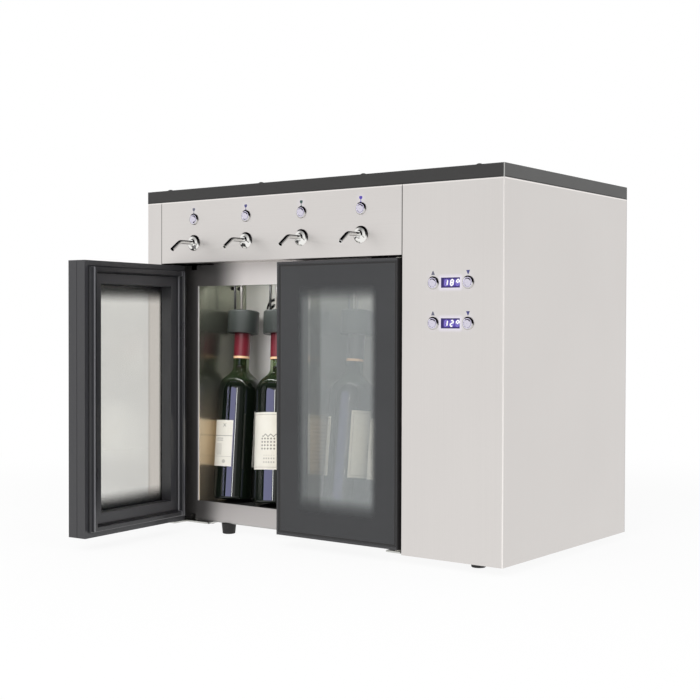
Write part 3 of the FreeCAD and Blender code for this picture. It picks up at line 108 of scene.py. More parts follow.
class Wire:
    """A node's output socket, with operators that add the nodes for shader maths."""

    def __init__(self, graph: "Graph", socket: bpy.types.NodeSocket) -> None:
        """Hold the socket and the graph that its new nodes go to."""
        self.graph = graph
        self.socket = socket

    def _joined(self, operation: str, left: Operand, right: Operand) -> "Wire":
        """Add one maths node.

        Args:
            operation: the node's operation.
            left: its first value.
            right: its second value.

        Returns:
            The node's result: a vector where either side is one, else a number.
        """
        pair = (left, right)
        if any(isinstance(side, tuple) or getattr(side, "is_vector", False) for side in pair):
            spread = [(side,) * 3 if isinstance(side, (int, float)) else side for side in pair]
            return self.graph.add("ShaderNodeVectorMath", {"operation": operation},
                                  dict(enumerate(spread)))
        return self.graph.add("ShaderNodeMath", {"operation": operation}, dict(enumerate(pair)))

    @property
    def is_vector(self) -> bool:
        """Whether the socket carries a vector."""
        return self.socket.type == "VECTOR"

    def __add__(self, other: Operand) -> "Wire":
        """The sum."""
        return self._joined("ADD", self, other)

    def __radd__(self, other: Operand) -> "Wire":
        """The sum, with the wire on the right."""
        return self._joined("ADD", other, self)

    def __sub__(self, other: Operand) -> "Wire":
        """The difference."""
        return self._joined("SUBTRACT", self, other)

    def __rsub__(self, other: Operand) -> "Wire":
        """The difference, with the wire on the right."""
        return self._joined("SUBTRACT", other, self)

    def __mul__(self, other: Operand) -> "Wire":
        """The product."""
        return self._joined("MULTIPLY", self, other)

    def __rmul__(self, other: Operand) -> "Wire":
        """The product, with the wire on the right."""
        return self._joined("MULTIPLY", other, self)

    def __pow__(self, other: Operand) -> "Wire":
        """The power."""
        return self._joined("POWER", self, other)

    def __rpow__(self, other: Operand) -> "Wire":
        """The power, with the wire on the right."""
        return self._joined("POWER", other, self)

    def __abs__(self) -> "Wire":
        """The size without its sign."""
        return self.graph.add("ShaderNodeMath", {"operation": "ABSOLUTE"}, {0: self})

    def most(self, other: Operand) -> "Wire":
        """The larger of the two."""
        return self._joined("MAXIMUM", self, other)

    def least(self, other: Operand) -> "Wire":
        """The smaller of the two."""
        return self._joined("MINIMUM", self, other)

    def hypot(self, other: "Wire") -> "Wire":
        """The straight distance over two square steps."""
        return (self * self + other * other) ** 0.5

    def to_multiple(self, pitch: float) -> "Wire":
        """The distance to the nearest multiple of a pitch."""
        return self.graph.add("ShaderNodeMath", {"operation": "PINGPONG"}, {0: self, 1: pitch / 2})

    def rise(self, start: Operand, end: Operand) -> "Wire":
        """A smooth step from 0 at start to 1 at end, which may lie either way round."""
        return self.graph.add("ShaderNodeMapRange", {"interpolation_type": "SMOOTHSTEP"},
                              {"Value": self, "From Min": start, "From Max": end})

    def span(self, low: float, high: float, soft: float) -> "Wire":
        """1 between two limits and 0 outside, with soft edges inside them."""
        return self.rise(low, low + soft) * self.rise(high, high - soft)

    def near(self, target: float, line: Point) -> "Wire":
        """1 near a target and 0 beyond; a line holds how far off it ends and starts to fade."""
        return abs(self - target).rise(*line)

    def dot(self, direction: "Triple | Wire") -> "Wire":
        """How far the vector reaches along a direction."""
        return self.graph.add("ShaderNodeVectorMath", {"operation": "DOT_PRODUCT"},
                              {0: self, 1: direction}, "Value")

    def part(self, axis: str) -> "Wire":
        """The vector's X, Y or Z."""
        return self.graph.add("ShaderNodeSeparateXYZ", {}, {0: self}, axis)


class Graph:
    """A node tree, with short ways to add its nodes."""

    def __init__(self, tree: bpy.types.NodeTree) -> None:
        """Empty the tree that the nodes are added to."""
        self.tree = tree
        tree.nodes.clear()

    def add(self, kind: str, settings: Mapping[str, object], sockets: Mapping[object, object],
            output: Union[int, str] = 0) -> "Wire | None":
        """Add a node.

        Args:
            kind: the node's type.
            settings: its own settings; "stops" holds a ramp's positions and colours.
            sockets: values or wires for its sockets, by name or number.
            output: the output that is wanted.

        Returns:
            That output, or None where the node has none.
        """
        node = self.tree.nodes.new(kind)
        for name, value in settings.items():
            if name == "stops":
                self._set_stops(node.color_ramp, value)
            else:
                setattr(node, name, value)
        for name, value in sockets.items():
            socket = node.inputs[name]
            if isinstance(value, Wire):
                self.tree.links.new(value.socket, socket)
            elif socket.type == "RGBA" and len(value) == 3:
                socket.default_value = (*value, 1.0)
            else:
                socket.default_value = value
        return Wire(self, node.outputs[output]) if node.outputs else None

    @staticmethod
    def _set_stops(ramp: bpy.types.ColorRamp, stops: Sequence[tuple[float, Colour]]) -> None:
        """Give a colour ramp its stops.

        Args:
            ramp: the colour ramp.
            stops: each stop's position and colour.
        """
        while len(ramp.elements) < len(stops):
            ramp.elements.new(1.0)
        for element, (position, colour) in zip(ramp.elements, stops):
            element.position = position
            element.color = (*colour, 1.0)

    def place(self) -> "Wire":
        """The surface's own place, in the frame's axes at rest."""
        return self.add("ShaderNodeTexCoord", {}, {}, "Object")

    def faced(self, direction: Triple, start: float, end: float) -> "Wire":
        """1 on the sides that face a direction, in the frame's axes at rest."""
        return self.add("ShaderNodeTexCoord", {}, {}, "Normal").dot(direction).rise(start, end)

    def noise(self, place: "Wire", scale: Union[float, Triple], detail: float = 2.0) -> "Wire":
        """Cloudy noise.

        Args:
            place: where it is read.
            scale: how many waves it has to the metre, on all axes or on each.
            detail: how ragged it is.

        Returns:
            The noise, about 0.5.
        """
        if isinstance(scale, tuple):
            place, scale = place * scale, 1.0
        return self.add("ShaderNodeTexNoise", {},
                        {"Vector": place, "Scale": scale, "Detail": detail})

    def blend(self, factor: Operand, first: Union[Colour, "Wire"],
              second: Union[Colour, "Wire"]) -> "Wire":
        """A colour between two others."""
        return self.add("ShaderNodeMix", {"data_type": "RGBA"},
                        {0: factor, 6: first, 7: second}, 2)

    def relief(self, height: "Wire", depth: float, strength: float) -> "Wire":
        """The normal of a surface whose height, from 0 to 1, is so many metres deep."""
        return self.add("ShaderNodeBump", {},
                        {"Height": height, "Distance": depth, "Strength": strength})

    def skin(self, **sockets: Operand) -> "Wire":
        """A plastic, metal or paint shader; a name's underscores stand for spaces."""
        named = {name.replace("_", " "): value for name, value in sockets.items()}
        return self.add("ShaderNodeBsdfPrincipled", {}, named)

    def shaders(self, factor: Operand, first: "Wire", second: "Wire") -> "Wire":
        """A shader between two others."""
        return self.add("ShaderNodeMixShader", {}, {0: factor, 1: first, 2: second})

    def clear(self, tint: Colour) -> "Wire":
        """A shader that lets light straight through, tinted."""
        return self.add("ShaderNodeBsdfTransparent", {}, {"Color": tint})

    def ray(self, kind: str) -> "Wire":
        """1 for rays of one kind, such as Camera, and 0 for the others."""
        return self.add("ShaderNodeLightPath", {}, {}, f"Is {kind} Ray")


# ---------------------------------------------------------------- finishes

@dataclass(frozen=True)
class Finish:
    """A procedural finish, kept as one material under its own name."""

    name: str

    def surface(self, graph: Graph) -> Wire:
        """Draw the finish's nodes and return its shader."""
        raise NotImplementedError

    def material(self) -> bpy.types.Material:
        """The finish as a material.

        Returns:
            The material, which is made the first time that it is asked for.
        """
        found = bpy.data.materials.get(self.name)
        if found is not None:
            return found
        made = bpy.data.materials.new(self.name)
        made.use_nodes = True
        graph = Graph(made.node_tree)
        graph.add("ShaderNodeOutputMaterial", {}, {"Surface": self.surface(graph)})
        return made


class Run(Enum):
    """The way that a metal's brushing runs, as waves to the metre on each axis."""

    ACROSS = (5.0, 900.0, 900.0)
    UPRIGHT = (900.0, 900.0, 5.0)


@dataclass(frozen=True)
class Halo:
    """The faint light that a lit sign throws on the metal round it, painted on as a glow.

    Attributes:
        x: X of the sign's middle.
        z: its height.
        half_width: half of its width.
        half_height: half of its height.
        reach: how far its light goes.
        level: how bright that light is.
    """

    x: float
    z: float
    half_width: float
    half_height: float
    reach: float
    level: float

    def mask(self, x: Wire, z: Wire) -> Wire:
        """How much of the light falls at a place of the front.

        Args:
            x: the place's X.
            z: its height.

        Returns:
            The light there.
        """
        beside = (abs(x - self.x) - self.half_width).most(0.0)
        above = (abs(z - self.z) - self.half_height).most(0.0)
        return beside.hypot(above).rise(self.reach, 0.0) * self.level


def off_corner(place: Wire, corner: Point) -> Wire:
    """How far a place lies from the upright corner at a front's right."""
    return (corner[0] - place.part("X")).most(place.part("Y") - corner[1])


@dataclass(frozen=True)
class BrushedSteel(Finish):
    """Stainless sheet with fine brushing and soft marks from handling.

    Attributes:
        colour: the sheet's own colour.
        roughness: its mean roughness.
        run: the way that the brushing runs.
    """

    colour: Colour
    roughness: float
    run: Run

    MARKS = 6.0
    RAGGED = 3.0
    LINE_GLOSS = 0.08
    MARK_GLOSS = 0.12
    BRUSH_DEPTH = 0.01 * MM
    BRUSH_STRENGTH = 0.25

    def lines(self, graph: Graph) -> Wire:
        """The brushing, about 0.5."""
        return graph.noise(graph.place(), self.run.value, self.RAGGED)

    def brushed(self, graph: Graph, lines: Wire, **sockets: Operand) -> Wire:
        """The sheet's shader.

        Args:
            graph: the tree that its nodes go to.
            lines: the brushing.
            sockets: what else it sets, such as its colour.

        Returns:
            The shader, with the brushing in its gloss and its relief.
        """
        marks = graph.noise(graph.place(), self.MARKS, self.RAGGED)
        return graph.skin(Roughness=(self.roughness + (lines - 0.5) * self.LINE_GLOSS
                                     + (marks - 0.5) * self.MARK_GLOSS),
                          Normal=graph.relief(lines, self.BRUSH_DEPTH, self.BRUSH_STRENGTH),
                          **sockets)


@dataclass(frozen=True)
class CasingSteel(BrushedSteel):
    """Casing sheet with painted glow, painted highlights, painted shade and dark seam lines.

    Attributes:
        halos: painted glow from the signs beside it.
        seams: X of the joints with the next sheets, drawn as dark lines.
        side: how bright its right-facing side is beside its front, as painted shade.
        corner: X and Y of a bend with a painted highlight, if there is one.
        top: height of its upper edge, which has a painted highlight too.
    """

    halos: tuple[Halo, ...] = ()
    seams: tuple[float, ...] = ()
    side: float = 1.0
    corner: "Point | None" = None
    top: float = math.inf

    LINE_SHADES = (0.97, 1.03)
    SIDE_FACING = (0.5, 0.95)
    SEAM_LINE = mm(1.1, 0.5)
    SEAM_DARKENING = 0.75
    SEAM_SHADE = 0.12
    TOP_BELOW = mm(2.4, 1.8)
    TOP_HIGHLIGHT = 1.24
    BEND_WIDTH = mm(1.6, 1.1)
    BEND_HIGHLIGHT = 1.4

    def surface(self, graph: Graph) -> Wire:
        """Brushed metal with its painted glow, painted highlights, painted shade and seam lines.

        Args:
            graph: the tree that its nodes go to.

        Returns:
            Its shader.
        """
        place = graph.place()
        x, z = place.part("X"), place.part("Z")
        lines = self.lines(graph)
        tint = graph.blend(lines, *(shade(self.colour, level) for level in self.LINE_SHADES))
        # painted shade: the right-facing side drawn darker than the front
        if self.side != 1.0:
            tint = graph.blend(graph.faced(RIGHTWARD, *self.SIDE_FACING), tint,
                               shade(self.colour, self.side))
        # a dark line along each seam
        for seam in self.seams:
            tint = graph.blend(x.near(seam, self.SEAM_LINE) * self.SEAM_DARKENING, tint,
                               shade(self.colour, self.SEAM_SHADE))
        # painted highlight along the sheet's upper edge
        if self.top < math.inf:
            edge = z.rise(*(self.top - below for below in self.TOP_BELOW))
            tint = graph.blend(edge, tint, shade(self.colour, self.TOP_HIGHLIGHT))
        # painted highlight along the bend
        if self.corner is not None:
            bend = off_corner(place, self.corner).rise(*self.BEND_WIDTH)
            tint = graph.blend(bend, tint, shade(self.colour, self.BEND_HIGHLIGHT))
        sockets = {"Base_Color": tint, "Metallic": 1.0}
        # painted glow: emission on the steel round the lit signs
        if self.halos:
            light = sum(halo.mask(x, z) for halo in self.halos)
            sockets["Emission_Color"] = graph.blend(light, BLACK, LILAC)
            sockets["Emission_Strength"] = 1.0
        return self.brushed(graph, lines, **sockets)


@dataclass(frozen=True)
class TrimSteel(BrushedSteel):
    """Strips round the bays in painted light and shade: pale header, darker sill, dark uprights.

    Attributes:
        edges: X of the uprights' inner edges, which carry painted highlights.
        sill: height of the sill's upper edge.
        header: height of the header's lower edge.
        sill_painted_shade: X up to which the sill is in painted shade, and X from which it is not.
        header_painted_shade: the same for the header.
    """

    edges: tuple[float, ...]
    sill: float
    header: float
    sill_painted_shade: Point
    header_painted_shade: Point

    METAL = 0.35
    SILL_SHADE = 0.66
    PALE_SHADE = 1.2
    DARK_SHADE = 0.14
    EDGE_SIDES = mm(2.3, 0.6)
    SOFT = 0.4 * MM

    def surface(self, graph: Graph) -> Wire:
        """Satin strip with painted shade and painted highlights.

        Args:
            graph: the tree that its nodes go to.

        Returns:
            Its shader.
        """
        place = graph.place()
        x, z = place.part("X"), place.part("Z")
        pale = shade(self.colour, self.PALE_SHADE)
        # painted light and shade: the header paler, the sill darker
        raised = z.rise(self.sill, self.header)
        tint = graph.blend(raised, shade(self.colour, self.SILL_SHADE), pale)
        # painted shade over the left ends of sill and header, and over the uprights
        low = x.rise(*reversed(self.sill_painted_shade))
        high = x.rise(*reversed(self.header_painted_shade))
        upright = z.span(self.sill - self.SOFT, self.header + self.SOFT, self.SOFT)
        dark = (low + (high - low) * raised).most(upright)
        tint = graph.blend(dark, tint, shade(self.colour, self.DARK_SHADE))
        left, right = self.EDGE_SIDES
        # painted highlights along the uprights' inner edges
        for edge in self.edges:
            line = x.span(edge - left, edge + right, self.SOFT) * upright
            tint = graph.blend(line, tint, pale)
        return self.brushed(graph, self.lines(graph), Base_Color=tint, Metallic=self.METAL)


@dataclass(frozen=True)
class Wipe:
    """Faint marks that wiping leaves on smooth metal.

    Attributes:
        waves: how many there are to the metre on each axis.
        ragged: how ragged they are.
        dulling: how much rougher they make the metal.
    """

    waves: Triple
    ragged: float
    dulling: float

    FAINT = 0.4

    def marks(self, graph: Graph) -> Wire:
        """The marks, about 0.5."""
        return graph.noise(graph.place(), self.waves, self.ragged)

    def dulled(self, roughness: float, marks: Wire) -> Wire:
        """The metal's roughness, higher under the stronger marks."""
        return roughness + (marks - self.FAINT).most(0.0) * self.dulling


LINER_WIPE = Wipe((16.0, 16.0, 5.0), 2.0, 0.06)
PLATE_WIPE = Wipe((40.0, 40.0, 9.0), 3.0, 0.12)


@dataclass(frozen=True)
class LinerSteel(Finish):
    """Rolled liner sheet coloured by height; on the walls this is painted reflection and shade.

    Attributes:
        tones: heights and the sheet's colour at each.
        roughness: the sheet's mean roughness.
        metal: how much of it is bare metal rather than matt.
        painted_highlight_until: Y up to which its front edge carries a painted highlight.
    """

    tones: tuple[tuple[float, Colour], ...]
    roughness: float = 0.24
    metal: float = 0.86
    painted_highlight_until: float = -math.inf

    TALL = 0.6
    EDGE_HIGHLIGHT = tone(242, 243, 240)
    SOFT = 0.4 * MM

    def surface(self, graph: Graph) -> Wire:
        """A soft mirror with faint wiping marks.

        Args:
            graph: the tree that its nodes go to.

        Returns:
            Its shader.
        """
        place = graph.place()
        stops = [(height / self.TALL, colour) for height, colour in self.tones]
        tint = graph.add("ShaderNodeValToRGB", {"stops": stops},
                         {"Fac": place.part("Z") * (1 / self.TALL)})
        # painted highlight along the sheet's front edge
        if self.painted_highlight_until > -math.inf:
            front = place.part("Y").rise(self.painted_highlight_until + self.SOFT, self.painted_highlight_until)
            tint = graph.blend(front, tint, self.EDGE_HIGHLIGHT)
        return graph.skin(Base_Color=tint, Metallic=self.metal,
                          Roughness=LINER_WIPE.dulled(self.roughness, LINER_WIPE.marks(graph)))


@dataclass(frozen=True)
class PaintedFacingDark:
    """Painted darkening on sides that face one way: painted shade on paint, painted reflection on
    chrome.

    Attributes:
        facing: the direction.
        start: how far a side faces it where the film starts, from -1 to 1.
        end: how far where it is full.
        level: how dark it is.
    """

    facing: Triple
    start: float
    end: float
    level: float


def with_painted_darks(graph: Graph, tint: Wire, painted_darks: Sequence[PaintedFacingDark]) -> Wire:
    """Lay painted darkenings over a tint.

    Args:
        graph: the tree that the nodes go to.
        tint: the bare surface's colour.
        painted_darks: the painted darkenings, from the lowest up.

    Returns:
        The colour under its painted darkenings.
    """
    # each darkening is painted light: shade on painted parts, a dark reflection on chrome
    for film in painted_darks:
        mask = graph.faced(film.facing, film.start, film.end) * film.level
        tint = graph.blend(mask, tint, PAINTED_DARK)
    return tint


@dataclass(frozen=True)
class Polished(Finish):
    """Bright plated or rolled metal with faint wiping marks, painted reflections and painted
    shade.

    Attributes:
        colour: the metal's colour.
        roughness: its mean roughness.
        painted_darks: painted dark reflections on some of its sides.
        painted_shade_from: the height from which it is drawn near-black, as painted shade.
    """

    colour: Colour
    roughness: float
    painted_darks: tuple[PaintedFacingDark, ...] = ()
    painted_shade_from: float = math.inf

    WIPE_SHADES = (0.95, 1.02)
    BLACK_FADE = 2 * MM

    def surface(self, graph: Graph) -> Wire:
        """Smooth metal whose gloss varies a little, under its painted reflections and painted
        shade.

        Args:
            graph: the tree that its nodes go to.

        Returns:
            Its shader.
        """
        marks = PLATE_WIPE.marks(graph)
        tint = graph.blend(marks, *(shade(self.colour, level) for level in self.WIPE_SHADES))
        tint = with_painted_darks(graph, tint, self.painted_darks)
        # painted shade: everything above a height drawn near-black
        if self.painted_shade_from < math.inf:
            black = graph.place().part("Z").rise(self.painted_shade_from,
                                                 self.painted_shade_from + self.BLACK_FADE)
            tint = graph.blend(black, tint, PAINTED_DARK)
        return graph.skin(Base_Color=tint, Metallic=1.0,
                          Roughness=PLATE_WIPE.dulled(self.roughness, marks))


@dataclass(frozen=True)
class Bezel(Finish):
    """Plated bezels round the buttons, with a painted dark reflection over their upper right.

    Attributes:
        centres: X and Z of the buttons.
        radius: a bezel's radius.
    """

    centres: tuple[Point, ...]
    radius: float

    ROUGHNESS = 0.12
    PLATING = (tone(196, 194, 192), tone(208, 206, 204))
    RIM_FADE = mm(2, 1)
    LIFT = (0.5, 0.0, 0.87)
    LIFT_SHARES = (0.3, 0.52)
    SIDE = PaintedFacingDark((0.62, 0.0, 0.78), 0.3, 0.5, 0.9)
    REFLECTION_DARKNESS = 0.985

    def surface(self, graph: Graph) -> Wire:
        """Satin plating under a painted dark reflection.

        Args:
            graph: the tree that its nodes go to.

        Returns:
            Its shader.
        """
        flat = graph.place() * (1.0, 0.0, 1.0)
        marks = PLATE_WIPE.marks(graph)
        # painted dark reflection: a crescent at each bezel's upper right and on its right-facing
        # sides
        crescent = sum(self._crescent(flat - (x, 0.0, z)) for x, z in self.centres)
        side = graph.faced(self.SIDE.facing, self.SIDE.start, self.SIDE.end) * self.SIDE.level
        tint = graph.blend(crescent.most(side) * self.REFLECTION_DARKNESS,
                           graph.blend(marks, *self.PLATING), PAINTED_DARK)
        return graph.skin(Base_Color=tint, Metallic=1.0,
                          Roughness=PLATE_WIPE.dulled(self.ROUGHNESS, marks))

    def _crescent(self, off: Wire) -> Wire:
        """The painted dark reflection on one bezel, at a place so far off its middle."""
        near = (off.dot(off) ** 0.5).rise(*(self.radius + fade for fade in self.RIM_FADE))
        return near * off.dot(self.LIFT).rise(*(lift * self.radius for lift in self.LIFT_SHARES))


CLOUD_WAVES = 12.0
CLOUD_RAGGED = 3.0
CLOUD_GLOSS = 0.14


def clouds(graph: Graph) -> Wire:
    """The slow unevenness of moulded or painted skins, about 0.5."""
    return graph.noise(graph.place(), CLOUD_WAVES, CLOUD_RAGGED)


def uneven(roughness: float, cloud: Wire) -> Wire:
    """A skin's roughness, a little uneven."""
    return roughness + (cloud - 0.5) * CLOUD_GLOSS


@dataclass(frozen=True)
class Moulded(Finish):
    """Plastic, rubber, paint or foam: a colour with its own grain, and painted light where asked.

    Attributes:
        colour: its colour.
        roughness: its mean roughness.
        grain: size of the grain.
        depth: how deep the grain is.
        fleck: how far the colour varies.
        coat: weight of a clear coat.
        painted_darks: painted shade on some of its sides.
        hem: height below which it is darker.
        corner: X and Y of an edge with a painted highlight, if there is one.
    """

    colour: Colour
    roughness: float
    grain: float = 1.2 * MM
    depth: float = 0.02 * MM
    fleck: float = 0.08
    coat: float = 0.0
    painted_darks: tuple[PaintedFacingDark, ...] = ()
    hem: float = -math.inf
    corner: "Point | None" = None

    GRAIN_STRENGTH = 0.5
    HEM_FADE = 0.2 * MM
    HEM_SHADE = 0.16
    HIGHLIGHT_WIDTH = mm(1.4, 0.9)
    HIGHLIGHT_SHADE = 4.6

    def surface(self, graph: Graph) -> Wire:
        """A grained skin, a little uneven in colour and gloss.

        Args:
            graph: the tree that its nodes go to.

        Returns:
            Its shader.
        """
        place = graph.place()
        cloud = clouds(graph)
        tint = graph.blend(cloud, shade(self.colour, 1 - self.fleck),
                           shade(self.colour, 1 + self.fleck))
        tint = with_painted_darks(graph, tint, self.painted_darks)
        if self.hem > -math.inf:
            below = place.part("Z").rise(self.hem + self.HEM_FADE, self.hem - self.HEM_FADE)
            tint = graph.blend(below, tint, shade(self.colour, self.HEM_SHADE))
        # painted highlight along the upright corner
        if self.corner is not None:
            edge_highlight = off_corner(place, self.corner).rise(*self.HIGHLIGHT_WIDTH)
            tint = graph.blend(edge_highlight, tint, shade(self.colour, self.HIGHLIGHT_SHADE))
        grain = graph.noise(place, 1 / self.grain)
        return graph.skin(Base_Color=tint, Roughness=uneven(self.roughness, cloud),
                          Normal=graph.relief(grain, self.depth, self.GRAIN_STRENGTH),
                          Coat_Weight=self.coat)


@dataclass(frozen=True)
class DoorFinish(Finish):
    """A finish drawn from a door's hinge edge, wherever the door stands at rest.

    Attributes:
        hinge: X and Y of the door's hinge edge.
        along: unit direction across the door, away from the hinge.
    """

    hinge: Point
    along: Point

    def across(self, graph: Graph) -> Wire:
        """How far across the door a place is."""
        return (graph.place() - (*self.hinge, 0.0)).dot((*self.along, 0.0))


@dataclass(frozen=True)
class SealRubber(DoorFinish):
    """Soft black rubber with painted highlight lines along its rounded edges.

    Attributes:
        edges: how far from the hinge edge the painted highlight lines run.
        ends: heights where the lines end.
    """

    edges: tuple[float, ...]
    ends: Point

    ROUGHNESS = 0.3
    COAT = 0.3
    RUBBER = (tone(36, 36, 39), tone(41, 41, 44))
    SEAL_HIGHLIGHT = tone(112, 112, 116)
    LINE = mm(1.4, 0.8)
    END_FADE = 2 * MM

    def surface(self, graph: Graph) -> Wire:
        """Dark rubber with its painted highlight lines.

        Args:
            graph: the tree that its nodes go to.

        Returns:
            Its shader.
        """
        cloud, across = clouds(graph), self.across(graph)
        tint = graph.blend(cloud, *self.RUBBER)
        ends = graph.place().part("Z").span(*self.ends, self.END_FADE)
        # painted highlights along the seal's rounded edges
        for edge in self.edges:
            tint = graph.blend(across.near(edge, self.LINE) * ends, tint, self.SEAL_HIGHLIGHT)
        return graph.skin(Base_Color=tint, Roughness=uneven(self.ROUGHNESS, cloud),
                          Coat_Weight=self.COAT)


@dataclass(frozen=True)
class BottleGlass(Finish):
    """Dark green bottle glass, clearer in the empty neck.

    Attributes:
        clear_from: height from which light goes through it.
        clear_to: height from which it is clearest.
    """

    clear_from: float
    clear_to: float

    RIPPLES = (30.0, 30.0, 9.0)
    RIPPLE_DEPTH = 0.2 * MM
    RIPPLE_STRENGTH = 0.2
    RIPPLE_GLOSS = 0.05
    ROUGHNESS = 0.03
    GREENS = (tone(9, 12, 8), tone(17, 24, 15))
    THROAT = tone(46, 60, 36)
    THROAT_FADE = mm(-6, 20)
    THROUGH = tone(224, 232, 212)
    CLEAREST = 0.85

    def surface(self, graph: Graph) -> Wire:
        """Deep green gloss that lets some light through above the wine.

        Args:
            graph: the tree that its nodes go to.

        Returns:
            Its shader.
        """
        place = graph.place()
        height = place.part("Z")
        ripple = graph.noise(place, self.RIPPLES)
        throat = height.rise(*(self.clear_from + fade for fade in self.THROAT_FADE))
        tint = graph.blend(throat, graph.blend(ripple, *self.GREENS), self.THROAT)
        roughness = self.ROUGHNESS + (ripple - 0.5).most(0.0) * self.RIPPLE_GLOSS
        body = graph.skin(Base_Color=tint, Roughness=roughness,
                          Normal=graph.relief(ripple, self.RIPPLE_DEPTH, self.RIPPLE_STRENGTH))
        neck = height.rise(self.clear_from, self.clear_to) * self.CLEAREST
        return graph.shaders(neck, body, graph.clear(self.THROUGH))


@dataclass(frozen=True)
class Window:
    """The clear part of a door's glass.

    Attributes:
        sides: where it starts and ends from the hinge edge, each with how far it fades there.
        ends: its lower and its upper edge, each with how far it fades there.
        door: the door's width, its lower edge and its upper edge.
    """

    sides: tuple[Point, Point]
    ends: tuple[Point, Point]
    door: Triple

    def mask(self, across: Wire, height: Wire) -> Wire:
        """The clear part.

        Args:
            across: how far across the door a place is.
            height: how high it is.

        Returns:
            1 in the clear part and 0 on the border.
        """
        edges = [(across, *side) for side in self.sides] + [(height, *end) for end in self.ends]
        return math.prod(way.rise(edge, edge + fade) for way, edge, fade in edges)

    def inset(self, across: Wire, height: Wire) -> Wire:
        """How far a place lies inside the door's nearest edge.

        Args:
            across: how far across the door it is.
            height: how high it is.

        Returns:
            Its distance from that edge.
        """
        width, bottom, top = self.door
        return across.least(width - across).least(height - bottom).least(top - height)


@dataclass(frozen=True)
class DoorGlass(DoorFinish):
    """Glass with a dark fired border that fades into a clear window, with painted gap shade.

    Attributes:
        tint: what one face lets through.
        gloss: how much one face mirrors.
        blur: how soft its mirror image is.
        window: the clear part, or None for glass that is clear all over.
        bare_from: how far across its mirror film ends, or infinity.
        bare_to: how far across it has no mirror film, or 0.
    """

    tint: Colour
    gloss: float
    blur: float
    window: "Window | None"
    bare_from: float = math.inf
    bare_to: float = 0.0

    SMEARS = 11.0
    RAGGED = 3.0
    SMEAR_BLUR = 0.03
    SHEEN = tone(232, 238, 240)
    RIM_SHEEN = 0.8
    RIM_POWER = 5.0
    THIN_FILM = 0.6
    THIN_FADE = 5 * MM
    BARE_FADE = 3 * MM
    BORDER = (tone(36, 37, 39), tone(50, 51, 53))
    BORDER_ROUGHNESS = 0.08
    BORDER_SMEAR = 0.05
    GROOVE = mm(4.8, 7.8)
    GROOVE_FADE = 0.6 * MM
    STILE_SHADE = mm(11.2, 10.2)

    def surface(self, graph: Graph) -> Wire:
        """Clear glass with a light sheen, and dark glossy glass round it with painted shade lines.

        Args:
            graph: the tree that its nodes go to.

        Returns:
            Its shader.
        """
        across, height = self.across(graph), graph.place().part("Z")
        smear = graph.noise(graph.place(), self.SMEARS, self.RAGGED)
        sheen = graph.skin(Base_Color=self.SHEEN, Metallic=1.0,
                           Roughness=self.blur + smear * self.SMEAR_BLUR)
        facing = graph.add("ShaderNodeLayerWeight", {}, {"Blend": 0.5}, "Facing")
        mirror = self.RIM_SHEEN * facing ** self.RIM_POWER + self._film(across)
        clear = graph.shaders(mirror, graph.clear(self.tint), sheen)
        if self.window is None:
            return clear
        # painted shade in the gap round the border and along the hinge stile
        painted_gap_shade = self.window.inset(across, height).span(*self.GROOVE, self.GROOVE_FADE)
        painted_gap_shade = painted_gap_shade.most(across.rise(*self.STILE_SHADE))
        paint = graph.blend(painted_gap_shade, graph.blend(smear, *self.BORDER), PAINTED_DARK)
        border = graph.skin(Base_Color=paint,
                            Roughness=self.BORDER_ROUGHNESS + smear * self.BORDER_SMEAR)
        return graph.shaders(self.window.mask(across, height), border, clear)

    def _film(self, across: Wire) -> Operand:
        """The glass's mirror film.

        Args:
            across: how far across the door a place is.

        Returns:
            How much the film mirrors there.
        """
        film: Operand = self.gloss
        if self.bare_from < math.inf:
            full = across.rise(self.bare_from, self.bare_from - self.THIN_FADE)
            film = (full * (1 - self.THIN_FILM) + self.THIN_FILM) * self.gloss
        if self.bare_to > 0.0:
            film = across.rise(self.bare_to - self.BARE_FADE, self.bare_to) * film
        return film


class Print(Enum):
    """What is printed on a label."""

    RULES = "rules"
    VINES = "vines"
    NOTES = "notes"


@dataclass(frozen=True)
class Block:
    """A block of print, from a label's middle and from its lower edge.

    Attributes:
        across: where it starts and ends across the label.
        up: where it starts and ends up the label.
        soft: how soft its sides and its ends are.
    """

    across: Point
    up: Point
    soft: Point = mm(0.5, 0.5)

    def mask(self, u: Wire, v: Wire) -> Wire:
        """1 in the block and 0 round it."""
        return u.span(*self.across, self.soft[0]) * v.span(*self.up, self.soft[1])


